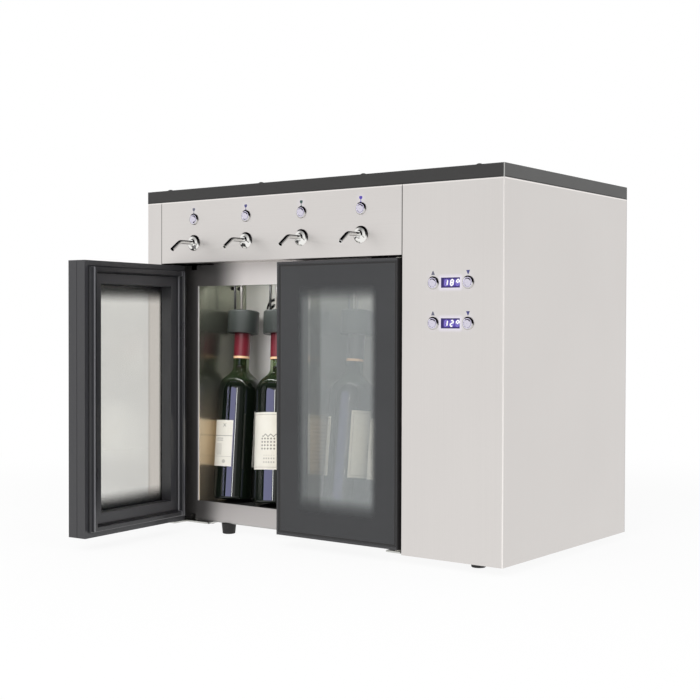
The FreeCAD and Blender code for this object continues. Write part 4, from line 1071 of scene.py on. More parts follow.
@dataclass(frozen=True)
class LabelPaper(Finish):
    """Cream laid paper with plain printed ornament, drawn on a label's own map in metres.

    Attributes:
        width: the label's width round the bottle.
        height: its height.
        design: what is printed on it.
    """

    width: float
    height: float
    design: Print

    PAPER = (tone(238, 233, 220), tone(252, 249, 240))
    INK = tone(70, 60, 52)
    FIBRES = (1500.0, 600.0, 1.0)
    AGE = 25.0
    RAGGED = 3.0
    FIBRE_DEPTH = 0.03 * MM
    FIBRE_STRENGTH = 0.4
    ROUGHNESS = 0.62
    FAINTEST = 0.75
    FIBRE_INK = 0.4
    SOFT = 0.5 * MM
    OUTLINE_INSET = 4 * MM
    THIN_LINE = mm(0.5, 0.2)
    TEXT_LINE = mm(0.6, 0.3)
    RULES_UP = (0.66, 0.21)
    SMALL_TEXT = Block(mm(8, 28), mm(41.5, 50.5), mm(1, 0.4))
    TEXT_PITCH = 3.4 * MM
    HILLS = Block(mm(8, 26), mm(18, 40), mm(2, 2))
    HILL_SLOPE = 1.1
    HILL_PITCH = 4.4 * MM
    CROSS = mm(29.5, 70.5)
    CROSS_ARMS = mm(3.4, 2.6)
    CROSS_LINE = mm(0.7, 0.4)
    SEAL = mm(30.5, 8.5)
    SEAL_SIZE = mm(4.2, 2.4)
    VINE_BLOCK = Block(mm(-13.5, 19.5), mm(31, 54))
    LEAF_PITCH = 5.6 * MM
    LEAF_LIFT = 1.3 * MM
    LEAF_SIZE = mm(2, 1)
    CREST_ACROSS = mm(-11.5, 17.5)
    CREST_FOOT = 55 * MM
    CREST_PITCH = 9.6 * MM
    CREST_SLOPE = 0.9
    CREST_LINE = mm(0.9, 0.5)
    FOOT_BLOCK = Block(mm(-8.2, 14.2), mm(9, 24.5))
    BAR_PITCHES = mm(4.4, 6.2)
    BAR_GAP = mm(0.9, 1.5)
    BAR_TALL = mm(1.6, 0.9)
    NOTE_PITCH = 6.2 * MM
    NOTE_LINE = mm(0.7, 0.4)
    NOTE_HALF = 24 * MM
    NOTE_INSET = 14 * MM
    WORD_WAVES = (900.0, 2300.0)
    WORD_PITCH = 4.0
    WORD_GAP = (0.25, 0.45)

    def surface(self, graph: Graph) -> Wire:
        """Fibrous paper with its print.

        Args:
            graph: the tree that its nodes go to.

        Returns:
            Its shader.
        """
        spot = graph.add("ShaderNodeUVMap", {"uv_map": "print"}, {})
        fibre = graph.noise(spot, self.FIBRES, self.RAGGED)
        paper = graph.blend(graph.noise(spot, self.AGE, self.RAGGED), *self.PAPER)
        draw = {Print.RULES: self._rules, Print.VINES: self._vines, Print.NOTES: self._notes}
        strength = self.FAINTEST + fibre * self.FIBRE_INK
        ink = draw[self.design](spot.part("X"), spot.part("Y")) * strength
        return graph.skin(Base_Color=graph.blend(ink, paper, self.INK), Roughness=self.ROUGHNESS,
                          Normal=graph.relief(fibre, self.FIBRE_DEPTH, self.FIBRE_STRENGTH))

    def _outline(self, u: Wire, v: Wire) -> Wire:
        """A thin rule round the label, a little inside its edges."""
        edge = (abs(u) - self.width / 2).most(abs(v - self.height / 2) - self.height / 2)
        return edge.near(-self.OUTLINE_INSET, self.THIN_LINE)

    def _small_print(self, u: Wire, v: Wire) -> Wire:
        """Broken stretches of line, as in a block of small print."""
        across, up = self.WORD_WAVES
        return (u * across + v * up).to_multiple(self.WORD_PITCH).rise(*self.WORD_GAP)

    @staticmethod
    def _inked(*prints: tuple[Wire, float]) -> Wire:
        """The strongest of several prints, each with the strength of its ink."""
        return reduce(Wire.most, (shape * strength for shape, strength in prints))

    def _rules(self, u: Wire, v: Wire) -> Wire:
        """Two rules, small print, slanting lines, a small cross and a round mark.

        Args:
            u: how far to the right of the label's middle a place is.
            v: how far above its lower edge.

        Returns:
            How much ink lies there.
        """
        upper, lower = (v.near(share * self.height, line) for share, line in
                        zip(self.RULES_UP, (self.TEXT_LINE, self.THIN_LINE)))
        words = (v.to_multiple(self.TEXT_PITCH).rise(*self.TEXT_LINE)
                 * self._small_print(u, v) * self.SMALL_TEXT.mask(u, v))
        slope = (v - u * self.HILL_SLOPE).to_multiple(self.HILL_PITCH).rise(*self.TEXT_LINE)
        hills = slope * self.HILLS.mask(u, v)
        beside, above = abs(u - self.CROSS[0]), abs(v - self.CROSS[1])
        cross = (beside.most(above).rise(*self.CROSS_ARMS)
                 * abs(beside - above).rise(*self.CROSS_LINE))
        seal = (u - self.SEAL[0]).hypot(v - self.SEAL[1]).rise(*self.SEAL_SIZE)
        return self._inked((upper, 0.7), (lower, 0.35), (words, 0.85), (hills, 0.7),
                           (cross, 0.8), (seal, 0.4))

    def _vines(self, u: Wire, v: Wire) -> Wire:
        """Rows of leaves under a zigzag crest, over a block of short bars.

        Args:
            u: how far to the right of the label's middle a place is.
            v: how far above its lower edge.

        Returns:
            How much ink lies there.
        """
        row = (v - self.LEAF_LIFT).to_multiple(self.LEAF_PITCH)
        leaf = u.to_multiple(self.LEAF_PITCH).hypot(row).rise(*self.LEAF_SIZE)
        vines = leaf * self.VINE_BLOCK.mask(u, v)
        ridge = v - self.CREST_FOOT - u.to_multiple(self.CREST_PITCH) * self.CREST_SLOPE
        crest = ridge.near(0.0, self.CREST_LINE) * u.span(*self.CREST_ACROSS, self.SOFT)
        column, row = self.BAR_PITCHES
        bars = (u.to_multiple(column).rise(*self.BAR_GAP)
                * v.to_multiple(row).rise(*self.BAR_TALL) * self.FOOT_BLOCK.mask(u, v))
        return self._inked((self._outline(u, v), 0.56), (vines, 0.8), (crest, 0.9),
                           (bars, 0.55))

    def _notes(self, u: Wire, v: Wire) -> Wire:
        """Lines of small print in a ruled frame.

        Args:
            u: how far to the right of the label's middle a place is.
            v: how far above its lower edge.

        Returns:
            How much ink lies there.
        """
        block = Block((-self.NOTE_HALF, self.NOTE_HALF),
                      (self.NOTE_INSET, self.height - self.NOTE_INSET), mm(1, 1))
        rows = v.to_multiple(self.NOTE_PITCH).rise(*self.NOTE_LINE)
        words = rows * self._small_print(u, v) * block.mask(u, v)
        return self._inked((self._outline(u, v), 0.8), (words, 0.55))


@dataclass(frozen=True)
class Lit(Finish):
    """A glowing face, a little brighter in its middle parts.

    Attributes:
        colour: the colour that it gives.
    """

    colour: Colour

    GLOW_WAVES = 300.0
    FAINTEST = 0.94
    BODY_SHADE = 0.05
    ROUGHNESS = 0.4

    def surface(self, graph: Graph) -> Wire:
        """A dark plastic that gives light of its own.

        Args:
            graph: the tree that its nodes go to.

        Returns:
            Its shader.
        """
        glow = graph.noise(graph.place(), self.GLOW_WAVES, 1.0)
        light = graph.blend(glow, shade(self.colour, self.FAINTEST), self.colour)
        return graph.skin(Base_Color=shade(self.colour, self.BODY_SHADE),
                          Roughness=self.ROUGHNESS, Emission_Color=light,
                          Emission_Strength=1.0)


@dataclass(frozen=True)
class DisplayPane(Finish):
    """The lit violet panes behind the digits, darker towards their edges.

    Attributes:
        x: the panes' middle.
        half_width: half of a pane's width.
        rows: heights of the panes' middles.
        half_height: half of a pane's height.
    """

    x: float
    half_width: float
    rows: tuple[float, ...]
    half_height: float

    ROUGHNESS = 0.5
    CLOUDS = 260.0
    DARK = tone(10, 6, 24)
    NAVY = tone(34, 18, 92)
    VIOLETS = (tone(72, 54, 150), tone(96, 82, 182))
    LEFT_EDGE = mm(3.4, 6.2)
    END_EDGE = mm(0.8, 3.4)

    def surface(self, graph: Graph) -> Wire:
        """Violet light with a navy edge on the left, the top and the bottom.

        Args:
            graph: the tree that its nodes go to.

        Returns:
            Its shader.
        """
        place = graph.place()
        x, z = place.part("X"), place.part("Z")
        off_row = reduce(Wire.least, (abs(z - row) for row in self.rows))
        left = self.x - self.half_width
        lit = (x.rise(*(left + edge for edge in self.LEFT_EDGE))
               * off_row.rise(*(self.half_height - edge for edge in self.END_EDGE)))
        violet = graph.blend(graph.noise(place, self.CLOUDS, 1.0), *self.VIOLETS)
        return graph.skin(Base_Color=self.DARK, Roughness=self.ROUGHNESS,
                          Emission_Color=graph.blend(lit, self.NAVY, violet),
                          Emission_Strength=1.0)


@dataclass(frozen=True)
class CircuitBoard(Finish):
    """A lacquered board with copper tracks under the green."""

    PITCHES = mm(5, 8)
    TRACK_X = mm(0.8, 0.4)
    TRACK_Z = mm(0.7, 0.3)
    BREAKS = 120.0
    BREAK_EDGES = (0.5, 0.56)
    ROUGHNESS = 0.35
    COAT = 0.4
    LACQUER = tone(18, 74, 46)
    TRACK = tone(52, 128, 74)

    def surface(self, graph: Graph) -> Wire:
        """Green lacquer over a grid of tracks.

        Args:
            graph: the tree that its nodes go to.

        Returns:
            Its shader.
        """
        place = graph.place()
        x, z = (place.part(axis).to_multiple(pitch) for axis, pitch in zip("XZ", self.PITCHES))
        bits = graph.noise(place, self.BREAKS, 1.0).rise(*self.BREAK_EDGES)
        tint = graph.blend(x.rise(*self.TRACK_X).most(z.rise(*self.TRACK_Z)) * bits,
                           self.LACQUER, self.TRACK)
        return graph.skin(Base_Color=tint, Roughness=self.ROUGHNESS, Coat_Weight=self.COAT)


@dataclass(frozen=True)
class FloorPaint(Finish):
    """Pale matt paint that keeps a faint shadow near the dispenser and is white far off.

    Attributes:
        open_from: distance from the dispenser where the shadow starts to fade.
        open_to: distance from which there is none.
    """

    open_from: float = 0.75
    open_to: float = 1.6

    PAINT = (0.93, 0.93, 0.93)
    NEAR_SHARE = 0.90
    MIRROR_SHARE = 0.96

    def surface(self, graph: Graph) -> Wire:
        """Matt paint, mixed with plain white for what is seen or mirrored.

        Args:
            graph: the tree that its nodes go to.

        Returns:
            Its shader.
        """
        place = graph.place()
        distance = place.dot(RIGHTWARD).hypot(place.dot(INWARD))
        white = distance.rise(self.open_from, self.open_to) * (1 - self.NEAR_SHARE)
        mirrored = graph.ray("Glossy").most(graph.ray("Transmission"))
        share = (graph.ray("Camera") * (self.NEAR_SHARE + white)).most(
            mirrored * self.MIRROR_SHARE)
        glow = graph.add("ShaderNodeEmission", {}, {"Color": WHITE, "Strength": 1.0})
        matt = graph.add("ShaderNodeBsdfDiffuse", {}, {"Color": self.PAINT})
        return graph.shaders(share, matt, glow)


CABINET_FRONT = tone(220, 216, 213)
# painted reflections and shade on the bays' side and back walls, as colours by height
PAINTED_MIRROR_TONES = ((0.19, tone(244, 228, 202)), (0.25, tone(178, 180, 166)),
                (0.268, tone(122, 124, 112)), (0.31, tone(114, 115, 107)),
                (0.4, tone(146, 149, 134)))
PAINTED_BACK_TONES = ((0.2, tone(250, 249, 247)), (0.32, tone(250, 246, 244)),
              (0.37, tone(218, 215, 211)), (0.42, tone(204, 202, 197)))
FLOOR_TONES = ((0.0, tone(140, 141, 140)), (0.6, tone(150, 151, 150)))
# the spouts and flanges carry painted dark reflections on some of their sides
SPOUT_CHROME = Polished("spout_chrome_finish", tone(236, 236, 234), 0.05,
                        (PaintedFacingDark((-0.25, 0.0, 0.97), 0.30, 0.42, 0.96),
                         PaintedFacingDark((0.1, 0.0, -1.0), 0.62, 0.85, 0.62)))
RIM_CHROME = Polished("rim_chrome_finish", tone(238, 237, 234), 0.05,
                      (PaintedFacingDark((0.62, 0.0, 0.78), 0.16, 0.36, 0.97),
                       PaintedFacingDark((-0.7, 0.0, -0.72), 0.5, 0.66, 0.9)))
CAP_CHROME = Polished("cap_chrome_finish", tone(216, 212, 226), 0.16)
SCREW_STEEL = Polished("screw_steel_finish", tone(150, 148, 146), 0.3)
# the upper hinge plate is drawn near-black as painted shade
HINGE_STEEL = Polished("hinge_steel_finish", tone(196, 196, 192), 0.2, painted_shade_from=0.3)
PIN_STEEL = Polished("hinge_pin_finish", tone(128, 128, 126), 0.28)
ALUMINIUM = Polished("aluminium_finish", tone(190, 192, 194), 0.32)
BRASS = Polished("valve_brass_finish", tone(205, 168, 96), 0.24)
# painted shade on the top cover's front face
COVER_PAINTED_SHADE = (PaintedFacingDark(FORWARD, 0.5, 0.95, 0.7),)
# painted shade on the door frames' sides that face the front and the front right
DOOR_PAINT = Moulded("door_paint_finish", tone(57, 57, 60), 0.32, grain=0.8 * MM,
                     depth=0.01 * MM, fleck=0.05, coat=0.15,
                     painted_darks=(PaintedFacingDark(FORWARD, 0.5, 0.95, 0.34),
                            PaintedFacingDark((0.83, -0.55, 0.0), 0.85, 0.95, 0.9)))
FOOT_RUBBER = Moulded("foot_rubber_finish", tone(30, 29, 29), 0.62, grain=0.8 * MM,
                      depth=0.04 * MM)
PLUG_RUBBER = Moulded("plug_rubber_finish", tone(14, 14, 14), 0.5)
HEAD_PLASTIC = Moulded("head_plastic_finish", tone(48, 52, 50), 0.36, grain=0.6 * MM,
                       depth=0.01 * MM, fleck=0.06)
TUBE_DARK = Moulded("dark_tube_finish", tone(12, 12, 12), 0.34, coat=0.1)
TUBE_GREY = Moulded("grey_tube_finish", tone(104, 100, 96), 0.3, coat=0.3)
FAN_PLASTIC = Moulded("fan_plastic_finish", tone(28, 28, 30), 0.45)
SOCKET_PLASTIC = Moulded("socket_plastic_finish", tone(24, 24, 25), 0.4)
FOAM = Moulded("foam_finish", tone(226, 214, 170), 0.9, grain=2 * MM, depth=0.4 * MM, fleck=0.1)
WINE = Moulded("red_wine_finish", tone(48, 6, 14), 0.05, grain=20 * MM, depth=0.0)
BUSH_NYLON = Moulded("bush_nylon_finish", tone(208, 206, 196), 0.4)
RING_PLASTIC = Moulded("light_ring_finish", tone(206, 200, 224), 0.3, coat=0.3)
FOIL = {"roughness": 0.3, "grain": 3 * MM, "depth": 0.1 * MM, "fleck": 0.14, "coat": 0.6}
CAPSULE_FOIL = Moulded("capsule_foil_finish", tone(114, 33, 46), **FOIL)
CAPSULE_SLATE = Moulded("slate_foil_finish", tone(62, 60, 62), **FOIL)
CAPSULE_GOLD = Moulded("capsule_gold_finish", tone(250, 204, 160), 0.25, coat=0.4)
SIGN_GREEN = Lit("sign_green_finish", tone(44, 74, 70))
SIGN_BLUE = Lit("sign_blue_finish", tone(66, 66, 122))
SIGN_VIOLET = Lit("sign_violet_finish", tone(82, 66, 168))
SIGN_GREY = Lit("sign_grey_finish", tone(98, 100, 116))
DIGIT_LIT = Lit("digit_lit_finish", tone(255, 255, 255))
DIGIT_UNLIT = Lit("digit_unlit_finish", tone(124, 110, 196))


# ---------------------------------------------------------------- making and dressing

def dress(finish: Finish, *nodes: str) -> None:
    """Give CAD nodes a finish.

    Args:
        finish: the finish.
        nodes: the nodes' names.
    """
    for node in nodes:
        materials = frame["nodes"][node].data.materials
        materials.clear()
        materials.append(finish.material())
        LOG.info("dressed %s in %s", node, finish.name)


SHARP_FROM = math.radians(32)
JOIN_WITHIN = 0.002 * MM


def soften(width: float, *nodes: str, segments: int = 2) -> None:
    """Round the sharp edges of CAD nodes, which keeps their meshes as they are.

    Args:
        width: width of the rounding.
        nodes: the nodes' names.
        segments: how many faces the rounding has.
    """
    for node in nodes:
        thing = frame["nodes"][node]
        loose = thing.data.attributes.get("custom_normal")
        if loose is not None:
            thing.data.attributes.remove(loose)
        thing.data.shade_smooth()
        weld = thing.modifiers.new("join", "WELD")
        weld.merge_threshold = JOIN_WITHIN
        bevel = thing.modifiers.new("round", "BEVEL")
        bevel.width = width
        bevel.segments = segments
        bevel.limit_method = "ANGLE"
        bevel.angle_limit = SHARP_FROM
        bevel.harden_normals = True


class Solid:
    """A mesh in the making, in the frame's own axes."""

    NEAR_AXIS = 0.2 * MM
    CREASE = math.radians(35)

    def __init__(self) -> None:
        """Start with nothing."""
        self.form = bmesh.new()
        self.print_map = self.form.loops.layers.uv.new("print")

    def _corners(self, place: Matrix, corners: Sequence[Triple]) -> list[bmesh.types.BMVert]:
        """Add corners, each moved to a place."""
        return [self.form.verts.new(place @ Vector(corner)) for corner in corners]

    def _band(self, here: Sequence[bmesh.types.BMVert], there: Sequence[bmesh.types.BMVert],
              finish: int = 0) -> list[bmesh.types.BMFace]:
        """Join two closed outlines by a band of faces.

        Args:
            here: the first outline's corners.
            there: the second outline's corners.
            finish: number of the finish that the band takes.

        Returns:
            Its faces, one for each side of the outline.
        """
        faces = []
        for i in range(len(here)):
            after = (i + 1) % len(here)
            face = self.form.faces.new((here[i], there[i], there[after], here[after]))
            face.material_index = finish
            faces.append(face)
        return faces

    def prism(self, outline: Sequence[Point], near: float, far: float,
              place: Matrix = Matrix.Identity(4)) -> None:
        """Raise a flat outline of the XZ plane into a solid.

        Args:
            outline: the corners in turn.
            near: its front, in Y.
            far: its back.
            place: where it goes.
        """
        front, back = (self._corners(place, [(x, y, z) for x, z in outline])
                       for y in (near, far))
        self.form.faces.new(front)
        self.form.faces.new(back[::-1])
        self._band(front, back)

    def lathe(self, profile: Sequence[Point], place: Matrix, steps: int, finish: int = 0,
              ridges: tuple[int, float] = (0, 0.0)) -> None:
        """Turn a closed outline about the Z axis of a place.

        Args:
            profile: its corners in turn, each a radius above zero and a height.
            place: the axis's place.
            steps: how many steps go round.
            finish: number of the finish that it takes.
            ridges: how many shallow ridges run up it, and how deep they are.
        """
        count, depth = ridges
        rings = []
        for step in range(steps):
            angle = math.tau * step / steps
            swell = depth * math.cos(count * angle)
            rings.append(self._corners(place, [
                ((radius + swell) * math.cos(angle), (radius + swell) * math.sin(angle), height)
                for radius, height in profile]))
        for here, there in zip(rings, rings[1:] + rings[:1]):
            self._band(here, there, finish)

    def wrap(self, radii: Point, heights: Point, angles: Point, place: Matrix,
             steps: int) -> None:
        """Bend a thin sheet round the Z axis of a place, mapped in metres on its outside.

        Args:
            radii: its inner and its outer radius.
            heights: its lower and its upper edge.
            angles: where it starts and ends, in radians.
            place: the axis's place.
            steps: how many flats it has.
        """
        (inner, outer), (low, high), (start, end) = radii, heights, angles
        section = ((outer, low), (outer, high), (inner, high), (inner, low))
        columns = []
        for step in range(steps + 1):
            angle = start + (end - start) * step / steps
            columns.append(((angle - (start + end) / 2) * outer, self._corners(place, [
                (radius * math.cos(angle), radius * math.sin(angle), height)
                for radius, height in section])))
        for (left, here), (right, there) in zip(columns, columns[1:]):
            for i, face in enumerate(self._band(here, there)):
                ups = (section[i][1] - low, section[(i + 1) % len(section)][1] - low)
                spots = ((left, ups[0]), (right, ups[0]), (right, ups[1]), (left, ups[1]))
                for loop, spot in zip(face.loops, spots):
                    loop[self.print_map].uv = spot
        self.form.faces.new(columns[0][1])
        self.form.faces.new(columns[-1][1][::-1])

    def piece(self, name: str, slot: str, *finishes: Finish,
              smooth: bool = False) -> bpy.types.Object:
        """Finish the mesh as a piece that rides on the cabinet.

        Args:
            name: the piece's name.
            slot: not used.
            finishes: its finishes, by number.
            smooth: whether its faces are shaded as one curve.

        Returns:
            The piece.
        """
        bmesh.ops.recalc_face_normals(self.form, faces=self.form.faces)
        mesh = bpy.data.meshes.new(name)
        self.form.to_mesh(mesh)
        self.form.free()
        for finish in finishes:
            mesh.materials.append(finish.material())
        made = bpy.data.objects.new(name, mesh)
        bpy.context.scene.collection.objects.link(made)
        if smooth:
            mesh.shade_smooth()
            mesh.set_sharp_from_angle(angle=self.CREASE)
        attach(made, "cabinet")
        LOG.info("made %s on cabinet", name)
        return made


def middle(node: str) -> Vector:
    """The middle of a CAD node's box."""
    low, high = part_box(node)
    return (low + high) / 2


def sheet_gauge() -> float:
    """The thickness of the liner's sheet, as its back wall shows it."""
    low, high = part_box("liner_back_wall")
    return high.y - low.y


# ---------------------------------------------------------------- casing

@dataclass
class Casing:
    """The sheet casing, its dark top cover, feet, screws and hinge plates."""

    front_roughness: float = 0.36
    back_roughness: float = 0.42
    cover_roughness: float = 0.5
    cover_hem: float = 1.7 * MM
    sheet_round: float = 0.2 * MM
    painted_side_shade: float = 0.95
    cover_screws: int = 4
    cover_screw_pitch: float = 204.7 * MM
    cover_screw_inset: float = 9 * MM
    rear_screw_inset: float = 7 * MM
    rear_screw_end: float = 20 * MM
    screw_dome: float = 2.2 * MM
    cross_length: float = 3.4 * MM
    cross_width: float = 0.9 * MM
    cross_depth: float = 0.25 * MM
    cross_proud: float = 0.04 * MM

    def build(self, controls: "Controls", taps: "Taps") -> None:
        """Dress the casing's sheets and add painted shade in the screws' cross recesses.

        Args:
            controls: the tower's displays and buttons, which light its front.
            taps: the taps, whose buttons light the fascia.
        """
        low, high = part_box("fascia_panel")
        tower_low, tower_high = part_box("side_panel_right")
        bend, sheet = (tower_high.x, tower_low.y), (CABINET_FRONT, self.front_roughness)
        dress(CasingSteel("fascia_steel_finish", *sheet, Run.ACROSS, taps.halos(),
                          (low.x, high.x), top=high.z), "fascia_panel")
        dress(CasingSteel("tower_steel_finish", *sheet, Run.UPRIGHT, controls.halos(),
                          (high.x,), self.painted_side_shade, bend, high.z), "side_panel_right")
        dress(CasingSteel("side_steel_finish", *sheet, Run.UPRIGHT, (), (low.x,), top=high.z),
              "side_panel_left")
        dress(CasingSteel("back_steel_finish", tone(190, 189, 187), self.back_roughness,
                          Run.ACROSS), "back_panel", "base_pan")
        # the cover gets painted shade on its front and a painted highlight at its front-right
        # corner
        dress(Moulded("cover_paint_finish", tone(76, 76, 75), self.cover_roughness,
                      grain=0.9 * MM, depth=0.04 * MM, fleck=0.06, painted_darks=COVER_PAINTED_SHADE,
                      hem=high.z + self.cover_hem, corner=bend), "top_cover")
        dress(FOOT_RUBBER, "feet")
        dress(SCREW_STEEL, "screws")
        dress(HINGE_STEEL, "hinge_plates")
        dress(PIN_STEEL, "hinge_pins")
        soften(self.sheet_round, "fascia_panel", "side_panel_left", "side_panel_right",
               "base_pan")
        self._crosses()

    def _cross(self) -> list[Point]:
        """The outline of a driver's cross.

        Returns:
            Its corners, about its middle.
        """
        arm, half = self.cross_length / 2, self.cross_width / 2
        corners = [(half, arm), (half, half), (arm, half)]
        outline = []
        for _ in range(4):
            outline += corners
            corners = [(z, -x) for x, z in corners]
        return outline

    def _crosses(self) -> None:
        """Put dark crosses on the screws that show, as painted shade in their recesses."""
        low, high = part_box("top_cover")
        left, left_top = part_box("side_panel_left")
        right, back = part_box("side_panel_right")[1].x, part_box("back_panel")[1].y
        upright = Matrix.Rotation(math.radians(-90), 4, "X")
        first = (low.x + high.x - (self.cover_screws - 1) * self.cover_screw_pitch) / 2
        seats = [Matrix.Translation((first + step * self.cover_screw_pitch,
                                     low.y + self.cover_screw_inset,
                                     high.z + self.screw_dome)) @ upright
                 for step in range(self.cover_screws)]
        bottom, top = left.z + self.rear_screw_end, left_top.z - self.rear_screw_end
        seats += [Matrix.Translation((x, back + self.screw_dome, z))
                  for z in (bottom, (bottom + top) / 2, top)
                  for x in (left.x + self.rear_screw_inset, right - self.rear_screw_inset)]
        solid = Solid()
        for seat in seats:
            # a near-black cross stands in for the shade in each screw's driver recess
            solid.prism(self._cross(), -self.cross_depth, self.cross_proud, seat)
        solid.piece("screw_crosses", "screw_steel", PLUG_RUBBER)


# ---------------------------------------------------------------- cooled cavity

@dataclass
class Cavity:
    """The front trims, the polished liner, the fans behind it and the hidden services."""

    trim_roughness: float = 0.38
    back_roughness: float = 0.42
    back_metal: float = 0.3
    sill_rise: float = 2 * MM
    header_drop: float = 4 * MM
    # where the sill and header are in painted shade, counted from the liner's left wall
    sill_painted_shade: Point = mm(8, 62)
    header_painted_shade: Point = mm(36, 112)
    highlight_depth: float = 6 * MM
    trim_round: float = 0.25 * MM
    service_round: float = 0.4 * MM
    plug_radius: float = 3.3 * MM
    plug_proud: float = 1.4 * MM
    plug_shoulder: Point = (0.75, 0.9)
    plug_steps: int = 24
    plug_depths: Point = mm(130.3, 148)
    plug_drop: float = 6 * MM

    def build(self) -> None:
        """Dress the cavity and put the fixing plugs in its side wall."""
        low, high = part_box("liner_side_walls")[0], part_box("divider")[1]
        dress(TrimSteel("trim_steel_finish", tone(228, 223, 221), self.trim_roughness,
                        Run.ACROSS, (low.x, high.x), low.z + self.sill_rise,
                        high.z - self.header_drop,
                        tuple(low.x + reach for reach in self.sill_painted_shade),
                        tuple(low.x + reach for reach in self.header_painted_shade)), "cavity_trims")
        dress(LinerSteel("liner_steel_finish", PAINTED_MIRROR_TONES), "liner_side_walls")
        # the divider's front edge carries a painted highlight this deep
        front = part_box("divider")[0].y + self.highlight_depth
        dress(LinerSteel("divider_steel_finish", PAINTED_MIRROR_TONES, painted_highlight_until=front), "divider")
        dress(LinerSteel("floor_steel_finish", FLOOR_TONES), "liner_floor", "liner_ceiling")
        dress(LinerSteel("back_wall_finish", PAINTED_BACK_TONES, self.back_roughness,
                         self.back_metal), "liner_back_wall")
        dress(FOAM, "insulation")
        dress(FAN_PLASTIC, "fan_frames", "circulation_fan_left", "circulation_fan_right",
              "exhaust_fan")
        dress(ALUMINIUM, "cooling_blocks", "power_supply")
        dress(BRASS, "solenoid_valves", "gas_fittings")
        dress(SOCKET_PLASTIC, "power_inlet")
        soften(self.trim_round, "cavity_trims")
        soften(self.service_round, "power_inlet", "power_supply")
        self._plugs()

    def _plugs(self) -> None:
        """Put two small black plugs high on the left bay's side wall."""
        low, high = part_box("liner_side_walls")
        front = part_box("side_panel_left")[0].y
        outward = Matrix.Rotation(math.radians(90), 4, "Y")
        r, proud = self.plug_radius, self.plug_proud
        narrow, high_up = self.plug_shoulder
        profile = [(Solid.NEAR_AXIS, 0.0), (r, 0.0), (r, proud / 2),
                   (narrow * r, high_up * proud), (Solid.NEAR_AXIS, proud)]
        solid = Solid()
        for depth in self.plug_depths:
            seat = Matrix.Translation((low.x + sheet_gauge(), front + depth,
                                       high.z - self.plug_drop))
            solid.lathe(profile, seat @ outward, self.plug_steps)
        solid.piece("wall_plugs", "stopper_rubber", PLUG_RUBBER, smooth=True)


# ---------------------------------------------------------------- doors

class Side(Enum):
    """Which door, with the way that it lies from its hinge when it is shut."""

    LEFT = 1
    RIGHT = -1


@dataclass
class Door:
    """A framed double-glazed door with a seal on its inside.

    Attributes:
        side: which door.
        near: where its window starts, from the hinge edge.
        near_fade: how far the window fades in there.
        low: where the window starts above the door's lower edge.
        gloss: how much the outer pane mirrors.
        blur: how soft its mirror image is.
        bare_from: how far from the hinge edge the outer pane's mirror film ends.
        bare_to: how far from the hinge edge that film starts.
    """

    side: Side
    near: float
    near_fade: float
    low: float
    gloss: float
    blur: float
    bare_from: float = math.inf
    bare_to: float = 0.0
    pivot_inset: float = 9 * MM
    far_inset: float = 41 * MM
    far_fade: float = 9 * MM
    high_inset: float = 36 * MM
    low_fade: float = 32 * MM
    high_fade: float = 31 * MM
    outer_tint: Colour = (0.945, 0.94, 0.925)
    inner_tint: Colour = (0.97, 0.968, 0.96)
    inner_gloss: float = 0.025
    seal_lines: Point = mm(14.4, 19.7)
    seal_far_line: float = 11.6 * MM
    seal_end: float = 9 * MM
    frame_round: float = 0.5 * MM
    seal_round: float = 1.5 * MM

    def build(self) -> None:
        """Dress the door."""
        name = self.side.name.lower()
        hinge, along = self._stance(name)
        low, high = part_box(f"door_frame_{name}")
        width = self._width()
        window = Window(((self.near, self.near_fade), (width - self.far_inset, -self.far_fade)),
                        ((low.z + self.low, self.low_fade),
                         (high.z - self.high_inset, -self.high_fade)), (width, low.z, high.z))
        dress(DoorGlass(f"outer_glass_{name}_finish", hinge, along, self.outer_tint,
                        self.gloss, self.blur, window, self.bare_from, self.bare_to),
              f"outer_glass_{name}")
        dress(DoorGlass(f"inner_glass_{name}_finish", hinge, along, self.inner_tint,
                        self.inner_gloss, self.blur, None), f"inner_glass_{name}")
        dress(DOOR_PAINT, f"door_frame_{name}")
        dress(SealRubber(f"seal_rubber_{name}_finish", hinge, along,
                         (*self.seal_lines, width - self.seal_far_line),
                         (low.z + self.seal_end, high.z - self.seal_end)), f"door_seal_{name}")
        dress(ALUMINIUM, f"glass_spacer_{name}")
        dress(BUSH_NYLON, f"door_bushes_{name}")
        soften(self.frame_round, f"door_frame_{name}")
        soften(self.seal_round, f"door_seal_{name}", segments=3)

    def _stance(self, name: str) -> tuple[Point, Point]:
        """How the door stands at rest: the left one open, the right one shut.

        Args:
            name: the door's side, in small letters.

        Returns:
            X and Y of its hinge edge, and the direction from there across the door.
        """
        joint = next(j for j in frame["joints"] if j["name"] == f"{name}_door_hinge")
        angle = -math.radians(max(joint["range_deg"])) if self.side is Side.LEFT else 0.0
        along = (self.side.value * math.cos(angle), self.side.value * math.sin(angle))
        hinge = tuple(at - self.pivot_inset * step for at, step in zip(joint["pos_m"], along))
        return hinge, along

    @staticmethod
    def _width() -> float:
        """A door's width, as the shut one shows it."""
        low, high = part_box("door_frame_right")
        return high.x - low.x


# ---------------------------------------------------------------- taps

